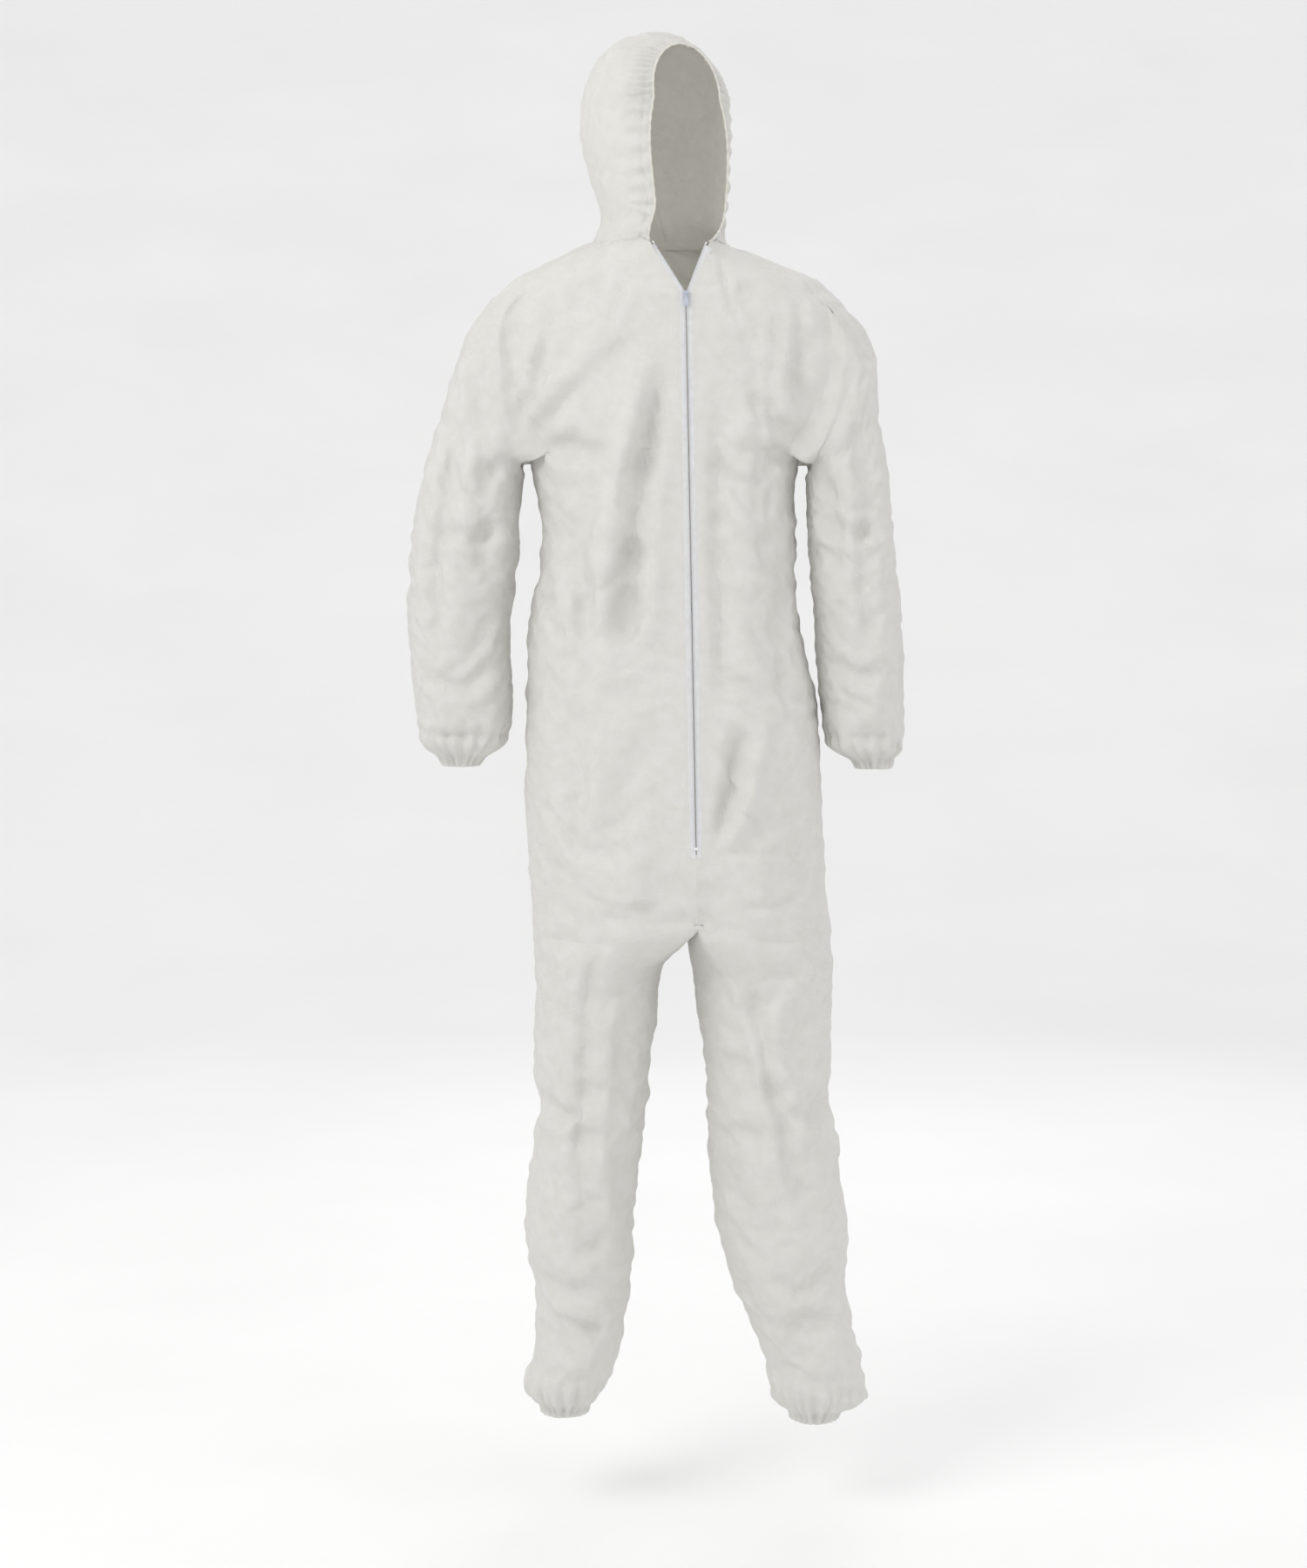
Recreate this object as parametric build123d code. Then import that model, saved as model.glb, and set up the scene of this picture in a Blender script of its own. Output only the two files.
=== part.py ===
"""Chemical protective suit: a hooded one-piece coverall of thin nonwoven cloth, held open in its worn shape.

Millimetres. +Z is up, the suit faces -Y and +X is the wearer's left. The origin is the base of the neck,
where the suit hangs from the wearer's shoulders.
Every cloth tube is a lofted shell cut into its sewn pieces, and cut again where the wearer's joints bend it.
"""
import os
from math import cos, pi, radians, sin, tan

from build123d import *

# Cloth
WALL = 1.6             # shell that stands for the cloth
SEAM_GAP = 0.4         # between two pieces sewn edge to edge
JOINT_GAP = 3.0        # between two pieces that bend against each other
OVAL_POINTS = 14       # points of each closed spline section
REACH = 4000.0         # larger than the whole suit, for cutting blocks

# Trunk sections: height, wearer's right edge, wearer's left edge, front, back
TRUNK = [
    (24, -122, 70, -74, 80),
    (-8, -150, 108, -82, 84),
    (-45, -222, 180, -90, 92),
    (-95, -262, 222, -96, 104),
    (-160, -258, 214, -100, 116),
    (-215, -222, 172, -103, 122),
    (-248, -187, 139, -105, 122),
    (-340, -181, 137, -108, 116),
    (-430, -186, 137, -111, 106),
    (-560, -193, 157, -116, 118),
    (-724, -193, 171, -123, 132),
    (-860, -187, 183, -126, 122),
]
COLLAR_TOP = 10.0
CROTCH_HEIGHT = -842.0
SIDE_SEAM_Y = 6.0
ARMHOLE_RIGHT = ((-238, -52), (-191, -246))    # top and underarm of the seam, as x and height
ARMHOLE_LEFT = ((196, -52), (143, -246))
WAIST_HEIGHT = -430.0
ELASTIC_WIDTH = 8.0
ELASTIC_THICKNESS = 1.0
GUSSET_WIDTH = 12.0
GUSSET_CENTRE_X = -4.0
GUSSET_RISE = 26.0
BACK_SEAM_X = -4.0

# Sleeve sections: top or outer point, underarm or inner point (each x, height), half depth
SLEEVE_RIGHT = [
    ((-238, -52), (-191, -246), 60),
    ((-284, -128), (-199, -268), 66),
    ((-313, -215), (-203, -296), 68),
    ((-332, -320), (-204, -340), 68),
    ((-341, -425), (-211, -425), 66),
    ((-339, -510), (-215, -510), 62),
    ((-329, -590), (-219, -590), 54),
    ((-312, -617), (-240, -617), 34),
]
SLEEVE_LEFT = [
    ((196, -52), (143, -246), 60),
    ((237, -122), (151, -268), 66),
    ((250, -215), (149, -296), 68),
    ((258, -320), (150, -340), 68),
    ((266, -425), (157, -425), 66),
    ((271, -510), (165, -510), 62),
    ((272, -590), (174, -590), 54),
    ((268, -620), (204, -620), 34),
]
ELBOW_HEIGHT = -385.0
ELBOW_RANGE = 70.0

# Leg sections: height, outer or right edge, inner or left edge, half depth, middle depth
LEG_RIGHT = [
    (-830, -186, -12, 104, 2),
    (-905, -184, -30, 94, 2),
    (-1015, -185, -44, 84, 0),
    (-1100, -189, -52, 80, 2),
    (-1190, -194, -63, 78, 8),
    (-1300, -184, -72, 68, 12),
    (-1385, -194, -94, 56, 14),
    (-1418, -178, -118, 36, 14),
]
LEG_LEFT = [
    (-830, 4, 184, 104, 2),
    (-905, 12, 183, 94, 2),
    (-1015, 28, 181, 84, 0),
    (-1100, 33, 190, 80, 2),
    (-1190, 40, 198, 78, 8),
    (-1300, 74, 203, 68, 12),
    (-1390, 104, 223, 56, 14),
    (-1426, 130, 194, 36, 14),
]
HIP_RANGE = 45.0
HIP_Y = 2.0
KNEE_HEIGHT = -1034.0
KNEE_Y = 2.0
KNEE_RANGE = 60.0
NOTCH_SPARE = 4.0      # degrees that each notch opens beyond its joint's range

# Gathered hems: centre (x, y), height of the hem's lower edge
HEM_LENGTH = 14.0
WRIST_RADIUS = 23.0
ANKLE_RADIUS = 31.0
WRIST_RIGHT = (-276, 0, -636)
WRIST_LEFT = (236, 0, -639)
ANKLE_RIGHT = (-148, 14, -1440)
ANKLE_LEFT = (162, 14, -1448)

# Hood sections: height, middle x, middle y, half length front to back, half width. The head is turned.
HOOD = [
    (8, -34, 4, 84, 78),
    (60, -28, 6, 84, 72),
    (120, -31, 8, 108, 80),
    (172, -36, 10, 120, 84),
    (216, -36, 10, 111, 76),
    (248, -32, 10, 84, 58),
    (270, -28, 10, 36, 26),
]
HEAD_TURN = 30.0
HEAD_CENTRE = Vector(-36, 10, 0)
FACE_PLANE = 81.0      # from the hood's middle to the face opening
FACE_HEM = 7.0
HOOD_CENTRE_HALF = 34.0
HOOD_RIM = 13.0
NAPE_Y = 30.0
HOOD_RANGE = 40.0

# Zip: where the closed chain starts under the slider, and where it ends
ZIP_TOP = Vector(1, -97, -57)
ZIP_BOTTOM = Vector(13, -126, -724)
ZIP_V_RIGHT = Vector(-36, -83, 3)
ZIP_V_LEFT = Vector(23, -85, 1)
SLOT_HALF = 7.4
SLOT_DEPTH = 40.0
V_TOP_SPREAD = 6.0
STOP_CLEARANCE = 0.3
TAPE_INNER = 0.9
TAPE_OUTER = 7.0
TAPE_THICKNESS = 0.6
COIL_INNER = 0.6
COIL_OUTER = 2.2
COIL_THICKNESS = 1.4
STOP_SIZE = 3.0

# Slider and pull tab, measured from the top of the closed chain
SLIDER_HALF_WIDTH = 3.5
SLIDER_TOP = 0.8
SLIDER_LENGTH = 9.6
SLIDER_CLEARANCE = 0.4
PLATE = 0.9
WEDGE_LOW = -0.6
BRIDGE_HALF = 0.3
CROWN_RADIUS = 0.6
CROWN_OUT = 2.1        # from the front plate to the crown bar's axis
CROWN_DOWN = 2.5
CROWN_HALF = 1.9
TAB_EYE_RADIUS = 1.6
TAB_HOLE_RADIUS = 1.0
TAB_HALF_NECK = 1.1
TAB_HALF_WIDTH = 2.6
TAB_LENGTH = 15.0
TAB_NECK_LENGTH = 5.5
TAB_CORNER = 1.2
TAB_THICKNESS = 1.0


def oval(centre, wide, deep, half_wide, half_deep):
    """A closed smooth section through points of an ellipse, spanned by two directions."""
    points = []
    for i in range(OVAL_POINTS):
        angle = 2 * pi * i / OVAL_POINTS
        points.append(centre + wide * (half_wide * cos(angle)) + deep * (half_deep * sin(angle)))
    return Wire([Edge.make_spline(points, periodic=True)])


def stack(rings):
    """One solid through closed sections, lofted straight from each to the next."""
    found = Solid.make_loft(rings[:2], ruled=True)
    for i in range(1, len(rings) - 1):
        found += Solid.make_loft(rings[i:i + 2], ruled=True)
    return found


def shell(sections, thickness=WALL, inset=0.0):
    """A tube of even wall, from sections of centre, wide and deep directions and half sizes."""
    outer = [oval(c, w, d, a - inset, b - inset) for c, w, d, a, b in sections]
    core = inset + thickness
    inner = [oval(c, w, d, a - core, b - core) for c, w, d, a, b in sections]
    return stack(outer) - stack(inner)


def half_space(origin, normal):
    """A large block on one side of a plane."""
    block = Box(REACH, REACH, REACH, align=(Align.CENTER, Align.CENTER, Align.MIN))
    return Plane(origin=origin, z_dir=normal) * block


def largest(shape):
    """The biggest solid of a cut."""
    return max(shape.solids(), key=lambda solid: solid.volume)


def two_largest(shape):
    """The two biggest solids of a cut."""
    return sorted(shape.solids(), key=lambda solid: -solid.volume)[:2]


def trunk_sections():
    """The trunk's level sections."""
    found = []
    for height, right, left, front, back in TRUNK:
        centre = Vector((right + left) / 2, (front + back) / 2, height)
        found.append((centre, Vector(1, 0, 0), Vector(0, 1, 0), (left - right) / 2, (back - front) / 2))
    return found


def sleeve_sections(points):
    """The sleeve's sections, from the armhole down to the round hem."""
    found = []
    for top, bottom, half_depth in points:
        across = Vector(bottom[0] - top[0], 0, bottom[1] - top[1])
        centre = Vector((top[0] + bottom[0]) / 2, 0, (top[1] + bottom[1]) / 2)
        wide = across.normalized() if across.X > 0 else (-across).normalized()
        found.append((centre, wide, Vector(0, 1, 0), across.length / 2, half_depth))
    return found


def hem_sections(hem, radius):
    """The round end of a sleeve or leg, where the elastic gathers it."""
    return [
        (Vector(hem[0], hem[1], hem[2] + height), Vector(1, 0, 0), Vector(0, 1, 0), radius, radius)
        for height in (HEM_LENGTH, 0)
    ]


def leg_sections(levels):
    """The leg's level sections."""
    found = []
    for height, right, left, half_depth, middle in levels:
        centre = Vector((right + left) / 2, middle, height)
        found.append((centre, Vector(1, 0, 0), Vector(0, 1, 0), (left - right) / 2, half_depth))
    return found


def head_directions():
    """Where the turned head faces, and its own left."""
    turn = radians(HEAD_TURN)
    return Vector(sin(turn), -cos(turn), 0), Vector(cos(turn), sin(turn), 0)


def hood_sections():
    """The hood's level sections, turned with the head."""
    along, across = head_directions()
    found = []
    for height, x, y, half_length, half_width in HOOD:
        found.append((Vector(x, y, height), across, along, half_width, half_length))
    return found


def bend_notch(pivot_y, pivot_z, side, above, below):
    """A prism along X that frees a bend: a slit behind the pivot and a wedge on the bending side.

    side is -1 where the tube folds to the front and +1 where it folds to the back.
    above and below are the wedge's angles over and under the pivot.
    """
    gap = JOINT_GAP / 2
    far = REACH / 4
    outline = Polyline(
        (pivot_y - side * far, pivot_z + gap),
        (pivot_y, pivot_z + gap),
        (pivot_y + side * far, pivot_z + gap + far * tan(radians(above))),
        (pivot_y + side * far, pivot_z - gap - far * tan(radians(below))),
        (pivot_y, pivot_z - gap),
        (pivot_y - side * far, pivot_z - gap),
        close=True,
    )
    return extrude(Plane.YZ * make_face(outline), REACH / 2, both=True)


def armhole_block(armhole, outward):
    """Everything outside an armhole's seam, above the underarm."""
    top, bottom = armhole
    far = REACH / 4
    lean = (top[0] - bottom[0]) / (top[1] - bottom[1])
    outline = Polyline(
        bottom,
        (top[0] + lean * far, top[1] + far),
        (bottom[0] + outward * far, top[1] + far),
        (bottom[0] + outward * far, bottom[1]),
        close=True,
    )
    return extrude(Plane.XZ * make_face(outline), REACH / 4, both=True)


def strip(x_low, x_high, y_low, y_high, z_low, z_high):
    """A box from its six limits."""
    size = Box(x_high - x_low, y_high - y_low, z_high - z_low)
    return Pos((x_low + x_high) / 2, (y_low + y_high) / 2, (z_low + z_high) / 2) * size


def zip_plane(origin, upper, lower):
    """A frame on the zip: Z points up from lower to upper, and -Y out of the suit."""
    up = (upper - lower).normalized()
    side = Vector(0, 1, 0).cross(up).normalized()
    return Plane(origin=origin, x_dir=side, z_dir=up)


CHAIN = zip_plane(ZIP_TOP, ZIP_TOP, ZIP_BOTTOM)
CHAIN_LENGTH = (ZIP_TOP - ZIP_BOTTOM).length


def front_opening():
    """What the front panels leave free: the zip's slot and the open V under the chin."""
    slot = CHAIN * strip(
        -SLOT_HALF, SLOT_HALF, -SLOT_DEPTH, SLOT_DEPTH, -CHAIN_LENGTH - SLOT_HALF, SLOT_HALF)
    right = ZIP_V_RIGHT - Vector(SLOT_HALF, 0, 0)
    left = ZIP_V_LEFT + Vector(SLOT_HALF, 0, 0)
    outline = Polyline(
        (ZIP_TOP.X - SLOT_HALF, ZIP_TOP.Z),
        (ZIP_TOP.X + SLOT_HALF, ZIP_TOP.Z),
        (left.X, left.Z),
        (left.X + V_TOP_SPREAD, REACH / 4),
        (right.X - V_TOP_SPREAD, REACH / 4),
        (right.X, right.Z),
        close=True,
    )
    vee = extrude(Plane.XZ * make_face(outline), REACH / 4)
    return slot + vee


def build_trunk():
    """Front and back panels, cut from one shell by the side seams, the armholes and the front opening."""
    body = shell(trunk_sections())
    body &= half_space(Vector(0, 0, CROTCH_HEIGHT), Vector(0, 0, 1))
    body &= half_space(Vector(0, 0, COLLAR_TOP), Vector(0, 0, -1))
    body -= armhole_block(ARMHOLE_RIGHT, -1)
    body -= armhole_block(ARMHOLE_LEFT, 1)
    front = body & half_space(Vector(0, SIDE_SEAM_Y - SEAM_GAP / 2, 0), Vector(0, -1, 0))
    back = body & half_space(Vector(0, SIDE_SEAM_Y + SEAM_GAP / 2, 0), Vector(0, 1, 0))
    front -= front_opening()
    front -= strip(
        ZIP_BOTTOM.X - SEAM_GAP / 2, ZIP_BOTTOM.X + SEAM_GAP / 2, -REACH / 4, SIDE_SEAM_Y,
        -REACH / 4, ZIP_BOTTOM.Z)
    halves = sorted(two_largest(front), key=lambda solid: solid.center().X)
    found = dict(zip(("front_panel_right", "front_panel_left"), halves))
    for name, side in (("right", -1), ("left", 1)):
        centre_back = half_space(Vector(BACK_SEAM_X + side * SEAM_GAP / 2, 0, 0), Vector(side, 0, 0))
        found["back_panel_" + name] = largest(back & centre_back)
    return found


def build_waist_elastic():
    """The elastic sewn inside the back panels at the waist."""
    band = shell(trunk_sections(), ELASTIC_THICKNESS, WALL + SEAM_GAP)
    band &= half_space(Vector(0, 0, WAIST_HEIGHT - ELASTIC_WIDTH / 2), Vector(0, 0, 1))
    band &= half_space(Vector(0, 0, WAIST_HEIGHT + ELASTIC_WIDTH / 2), Vector(0, 0, -1))
    return largest(band & half_space(Vector(0, SIDE_SEAM_Y, 0), Vector(0, 1, 0)))


def build_gusset():
    """The crotch piece: a saddle between the legs, from the front panels to the back panels."""
    front, back = TRUNK[-1][3:]
    half_span = (back - front) / 2 - 2 * WALL
    outer_arc = ThreePointArc((-half_span, 0), (0, GUSSET_RISE), (half_span, 0))
    arch = make_face(outer_arc + Line((half_span, 0), (-half_span, 0)))
    inner_arc = ThreePointArc((-half_span, 0), (0, GUSSET_RISE - WALL), (half_span, 0))
    hollow = make_face(inner_arc + Line((half_span, 0), (-half_span, 0)))
    ribbon = extrude(Plane.YZ * (arch - hollow), GUSSET_WIDTH / 2, both=True)
    return largest(Pos(GUSSET_CENTRE_X, (front + back) / 2, CROTCH_HEIGHT + SEAM_GAP) * ribbon)


def build_hem_elastic(hem, radius):
    """The round elastic inside a gathered hem."""
    outer = radius - WALL - SEAM_GAP
    ring = Cylinder(outer, ELASTIC_WIDTH) - Cylinder(outer - ELASTIC_THICKNESS, ELASTIC_WIDTH)
    return Pos(hem[0], hem[1], hem[2] + HEM_LENGTH / 2) * ring


def build_sleeve(points, armhole, outward, hem):
    """Upper and lower sleeve: one tube, cut at the armhole and notched at the elbow."""
    tube = shell(sleeve_sections(points) + hem_sections(hem, WRIST_RADIUS))
    tube &= half_space(*armhole_plane(armhole, outward, JOINT_GAP))
    half_fold = (ELBOW_RANGE + NOTCH_SPARE) / 2
    tube -= bend_notch(0, ELBOW_HEIGHT, -1, half_fold, half_fold)
    return split_by_height(tube)


def armhole_plane(armhole, outward, gap):
    """The armhole seam's plane, moved outward, with its normal into the sleeve."""
    top, bottom = armhole
    normal = Vector(outward * abs(top[1] - bottom[1]), 0, -abs(top[0] - bottom[0])).normalized()
    return Vector(top[0], 0, top[1]) + normal * gap, normal


def split_by_height(shape):
    """The two parts of a cut tube, upper first."""
    return sorted(two_largest(shape), key=lambda solid: -solid.center().Z)


def build_leg(levels, hem):
    """Upper and lower leg, each cut into a front and a back piece by its side seams."""
    tube = shell(leg_sections(levels) + hem_sections(hem, ANKLE_RADIUS))
    tube &= half_space(Vector(0, 0, CROTCH_HEIGHT), Vector(0, 0, -1))
    tube -= bend_notch(HIP_Y, CROTCH_HEIGHT - JOINT_GAP / 2, -1, 0, HIP_RANGE + NOTCH_SPARE)
    half_fold = (KNEE_RANGE + NOTCH_SPARE) / 2
    tube -= bend_notch(KNEE_Y, KNEE_HEIGHT, 1, half_fold, half_fold)
    found = {}
    for name, piece in zip(("upper", "lower"), split_by_height(tube)):
        for face, side in (("front", -1), ("back", 1)):
            cut = half_space(Vector(0, SIDE_SEAM_Y + side * SEAM_GAP / 2, 0), Vector(0, side, 0))
            found[name, face] = largest(piece & cut)
    return found


def build_hood():
    """The hood's three sewn panels and the elastic hem of its face opening."""
    along, across = head_directions()
    sections = hood_sections()
    body = shell(sections)
    top = sections[-1]
    lid = Solid.make_loft([
        oval(top[0], top[1], top[2], top[3], top[4]),
        oval(top[0] + Vector(0, 0, WALL), top[1], top[2], top[3] - WALL, top[4] - WALL),
    ])
    body = body + lid
    body -= bend_notch(NAPE_Y, HOOD_RIM - JOINT_GAP / 2, 1, HOOD_RANGE + NOTCH_SPARE, 0)
    body &= half_space(Vector(0, 0, HOOD_RIM), Vector(0, 0, 1))
    hem_inner = HEAD_CENTRE + along * (FACE_PLANE - FACE_HEM)
    hem = body & half_space(hem_inner, along)
    hem &= half_space(HEAD_CENTRE + along * FACE_PLANE, along * -1)
    cloth = body & half_space(hem_inner - along * SEAM_GAP, along * -1)
    near = HEAD_CENTRE + across * (HOOD_CENTRE_HALF - SEAM_GAP / 2)
    far = HEAD_CENTRE - across * (HOOD_CENTRE_HALF - SEAM_GAP / 2)
    centre_panel = cloth & half_space(near, across * -1) & half_space(far, across)
    return {
        "hood_centre_panel": largest(centre_panel),
        "hood_side_left": largest(cloth & half_space(near + across * SEAM_GAP, across)),
        "hood_side_right": largest(cloth & half_space(far - across * SEAM_GAP, across * -1)),
        "face_elastic": largest(hem),
    }


def zip_half(side, top_corner, low, high, y_low, y_high):
    """One side's tape or coil: straight along the closed chain, then along the open V."""
    xs = sorted((side * low, side * high))
    closed = CHAIN * strip(xs[0], xs[1], y_low, y_high, -CHAIN_LENGTH, 0)
    leg = zip_plane(ZIP_TOP, top_corner, ZIP_TOP)
    rise = (top_corner - ZIP_TOP).length
    opened = leg * strip(xs[0], xs[1], y_low, y_high, 0, rise)
    return closed + opened


def build_zip():
    """Tapes, coils and the stops at their ends."""
    found = {}
    for name, side, corner in (("right", -1, ZIP_V_RIGHT), ("left", 1, ZIP_V_LEFT)):
        found["zip_tape_" + name] = zip_half(side, corner, TAPE_INNER, TAPE_OUTER, 0, TAPE_THICKNESS)
        found["zip_coil_" + name] = zip_half(side, corner, COIL_INNER, COIL_OUTER, -COIL_THICKNESS, 0)
        leg = zip_plane(corner, corner, ZIP_TOP)
        xs = sorted((side * COIL_INNER, side * COIL_OUTER))
        found["zip_top_stop_" + name] = leg * strip(
            xs[0], xs[1], -COIL_THICKNESS, 0, STOP_CLEARANCE, STOP_CLEARANCE + STOP_SIZE)
    found["zip_bottom_stop"] = CHAIN * strip(
        -COIL_OUTER, COIL_OUTER, -COIL_THICKNESS, TAPE_THICKNESS,
        -CHAIN_LENGTH - STOP_CLEARANCE - STOP_SIZE, -CHAIN_LENGTH - STOP_CLEARANCE)
    return found


def build_slider():
    """The slider: two plates around the chain, side flanges, the wedge between the coils and the crown."""
    front = -COIL_THICKNESS - SLIDER_CLEARANCE
    back = TAPE_THICKNESS + SLIDER_CLEARANCE
    bottom = SLIDER_TOP - SLIDER_LENGTH
    half = SLIDER_HALF_WIDTH
    body = strip(-half, half, front - PLATE, front, bottom, SLIDER_TOP)
    body += strip(-half, half, back, back + PLATE, bottom, SLIDER_TOP)
    body += strip(-BRIDGE_HALF, BRIDGE_HALF, front - PLATE / 2, back + PLATE / 2, WEDGE_LOW, SLIDER_TOP)
    for side in (-1, 1):
        xs = sorted((side * (COIL_OUTER + SLIDER_CLEARANCE), side * half))
        body += strip(xs[0], xs[1], front - PLATE / 2, -SLIDER_CLEARANCE, bottom, -CROWN_DOWN)
        posts = sorted((side * (CROWN_HALF - CROWN_RADIUS), side * CROWN_HALF))
        body += strip(posts[0], posts[1], crown_out() - CROWN_RADIUS, front - PLATE / 2,
                      -CROWN_DOWN - CROWN_RADIUS, -CROWN_DOWN + CROWN_RADIUS)
    body += Pos(0, crown_out(), -CROWN_DOWN) * Rot(0, 90, 0) * Cylinder(CROWN_RADIUS, 2 * CROWN_HALF)
    return CHAIN * body


def crown_out():
    """How far out of the tape the crown bar's axis is."""
    return -COIL_THICKNESS - SLIDER_CLEARANCE - PLATE - CROWN_OUT


def build_pull_tab():
    """The pull tab: an eye around the crown bar, a neck and a flat grip."""
    eye = Rot(0, 90, 0) * Cylinder(TAB_EYE_RADIUS, 2 * TAB_HALF_NECK)
    half = TAB_THICKNESS / 2
    neck = strip(-TAB_HALF_NECK, TAB_HALF_NECK, -half, half, -TAB_NECK_LENGTH, 0)
    grip = strip(-TAB_HALF_WIDTH, TAB_HALF_WIDTH, -half, half, -TAB_LENGTH, -TAB_NECK_LENGTH)
    grip = fillet(grip.edges().filter_by(Axis.Y), TAB_CORNER)
    tab = eye + neck + grip
    tab -= Rot(0, 90, 0) * Cylinder(TAB_HOLE_RADIUS, 4 * TAB_HALF_NECK)
    return CHAIN * (Pos(0, crown_out(), -CROWN_DOWN) * tab)


def build_parts():
    """Every node of the suit."""
    found = build_trunk()
    found["waist_elastic"] = build_waist_elastic()
    found["crotch_gusset"] = build_gusset()
    found.update(build_hood())
    found.update(build_zip())
    found["slider_body"] = build_slider()
    found["pull_tab"] = build_pull_tab()
    sleeves = (
        ("right", SLEEVE_RIGHT, ARMHOLE_RIGHT, -1, WRIST_RIGHT),
        ("left", SLEEVE_LEFT, ARMHOLE_LEFT, 1, WRIST_LEFT),
    )
    for name, points, armhole, outward, hem in sleeves:
        upper, lower = build_sleeve(points, armhole, outward, hem)
        found["sleeve_upper_" + name] = upper
        found["sleeve_lower_" + name] = lower
        found["wrist_elastic_" + name] = build_hem_elastic(hem, WRIST_RADIUS)
    for name, levels, hem in (("right", LEG_RIGHT, ANKLE_RIGHT), ("left", LEG_LEFT, ANKLE_LEFT)):
        for (part, face), piece in build_leg(levels, hem).items():
            found[f"leg_{part}_{face}_{name}"] = piece
        found["ankle_elastic_" + name] = build_hem_elastic(hem, ANKLE_RADIUS)
    return found


os.makedirs("parts", exist_ok=True)
for node, shape in build_parts().items():
    export_step(shape, f"parts/{node}.step")
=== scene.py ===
"""The chemical protective suit as it is worn: hooded coverall of thin nonwoven cloth, zip, elastics."""

import math

import bpy
import numpy as np
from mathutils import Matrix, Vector


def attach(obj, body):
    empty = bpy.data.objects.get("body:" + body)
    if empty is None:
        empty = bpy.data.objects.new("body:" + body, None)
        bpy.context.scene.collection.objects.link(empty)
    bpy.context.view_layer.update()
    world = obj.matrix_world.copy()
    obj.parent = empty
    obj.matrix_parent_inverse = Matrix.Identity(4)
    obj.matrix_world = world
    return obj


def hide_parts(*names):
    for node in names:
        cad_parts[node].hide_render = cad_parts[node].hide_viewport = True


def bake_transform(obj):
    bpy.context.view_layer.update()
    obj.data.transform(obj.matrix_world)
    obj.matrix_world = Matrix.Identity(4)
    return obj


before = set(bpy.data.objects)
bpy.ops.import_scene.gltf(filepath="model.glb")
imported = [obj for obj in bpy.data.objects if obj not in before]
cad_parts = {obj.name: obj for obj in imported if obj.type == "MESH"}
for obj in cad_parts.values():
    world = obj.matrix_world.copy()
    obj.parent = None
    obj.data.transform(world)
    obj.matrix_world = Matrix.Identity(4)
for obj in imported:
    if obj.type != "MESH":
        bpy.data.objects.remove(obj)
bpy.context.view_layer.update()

# Some tables are in millimetres, everything else in metres
MM_PER_M = 1000

# Grid of the garment
COLUMNS = 120
ROW = 0.0085
TRUNK_TOP = 0.010
TRUNK_ROWS = 100
HOLE_HALF = 11
HOLE_TOP_ROW = 7
HOLE_LOW_ROW = 30
ZIP_LOW_ROW = 87
CROTCH_STEPS = 14
HOOD_ROWS = 40
HOOD_PANEL_HALF = 12
CROTCH_IN = 0.020
CROTCH_RISE = 0.018
CROTCH_DIP = 0.012

# Zip line, as the CAD slider travels along it
ZIP_TOP = np.array((0.001, -0.097, -0.057))
ZIP_LOW = np.array((0.013, -0.126, -0.724))
V_RIGHT = np.array((-0.036, -0.083, 0.003))
V_LEFT = np.array((0.023, -0.085, 0.001))
ZIP_GAP = 0.0072

# Trunk in millimetres: height, right, left, front, back
TRUNK = np.array([
    (10, -128, 64, -74, 78),
    (-11, -171, 123, -81, 83),
    (-30, -203, 156, -87, 86),
    (-50, -226, 180, -92, 90),
    (-80, -246, 203, -96, 98),
    (-110, -250, 208, -99, 106),
    (-150, -246, 202, -102, 113),
    (-190, -232, 184, -104, 118),
    (-225, -208, 160, -106, 121),
    (-246, -194, 146, -106, 122),
    (-270, -189, 139, -107, 121),
    (-340, -176, 137, -110, 116),
    (-400, -180, 137, -112, 108),
    (-460, -190, 142, -114, 108),
    (-562, -194, 163, -119, 118),
    (-724, -194, 171, -126, 132),
    (-800, -188, 176, -126, 130),
    (-845, -185, 181, -122, 124),
]) / MM_PER_M

# Sleeves in millimetres: outer point, inner point (each x, height), half depth
SLEEVE = {
    "right": np.array([
        (-236, -62, -178, -246, 58),
        (-262, -94, -190, -262, 62),
        (-281, -135, -198, -280, 66),
        (-300, -200, -201, -300, 68),
        (-322, -268, -203, -325, 69),
        (-335, -335, -204, -360, 68),
        (-341, -400, -209, -405, 67),
        (-342, -450, -215, -450, 66),
        (-339, -500, -215, -500, 64),
        (-334, -550, -212, -550, 62),
        (-328, -590, -215, -590, 56),
        (-318, -614, -228, -614, 46),
        (-300, -627, -250, -627, 28),
        (-298, -636, -254, -636, 23),
    ]) / MM_PER_M,
    "left": np.array([
        (198, -66, 132, -246, 58),
        (224, -96, 143, -262, 62),
        (236, -128, 150, -280, 66),
        (241, -200, 151, -300, 68),
        (252, -268, 152, -325, 69),
        (257, -335, 153, -360, 68),
        (264, -400, 156, -405, 67),
        (268, -450, 160, -450, 66),
        (271, -500, 164, -500, 64),
        (271, -555, 169, -555, 62),
        (272, -592, 173, -592, 56),
        (266, -618, 186, -618, 46),
        (258, -630, 212, -630, 28),
        (257, -639, 214, -639, 23),
    ]) / MM_PER_M,
}
SLEEVE_ROWS = 74
SLEEVE_CUT_ROW = 26

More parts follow.
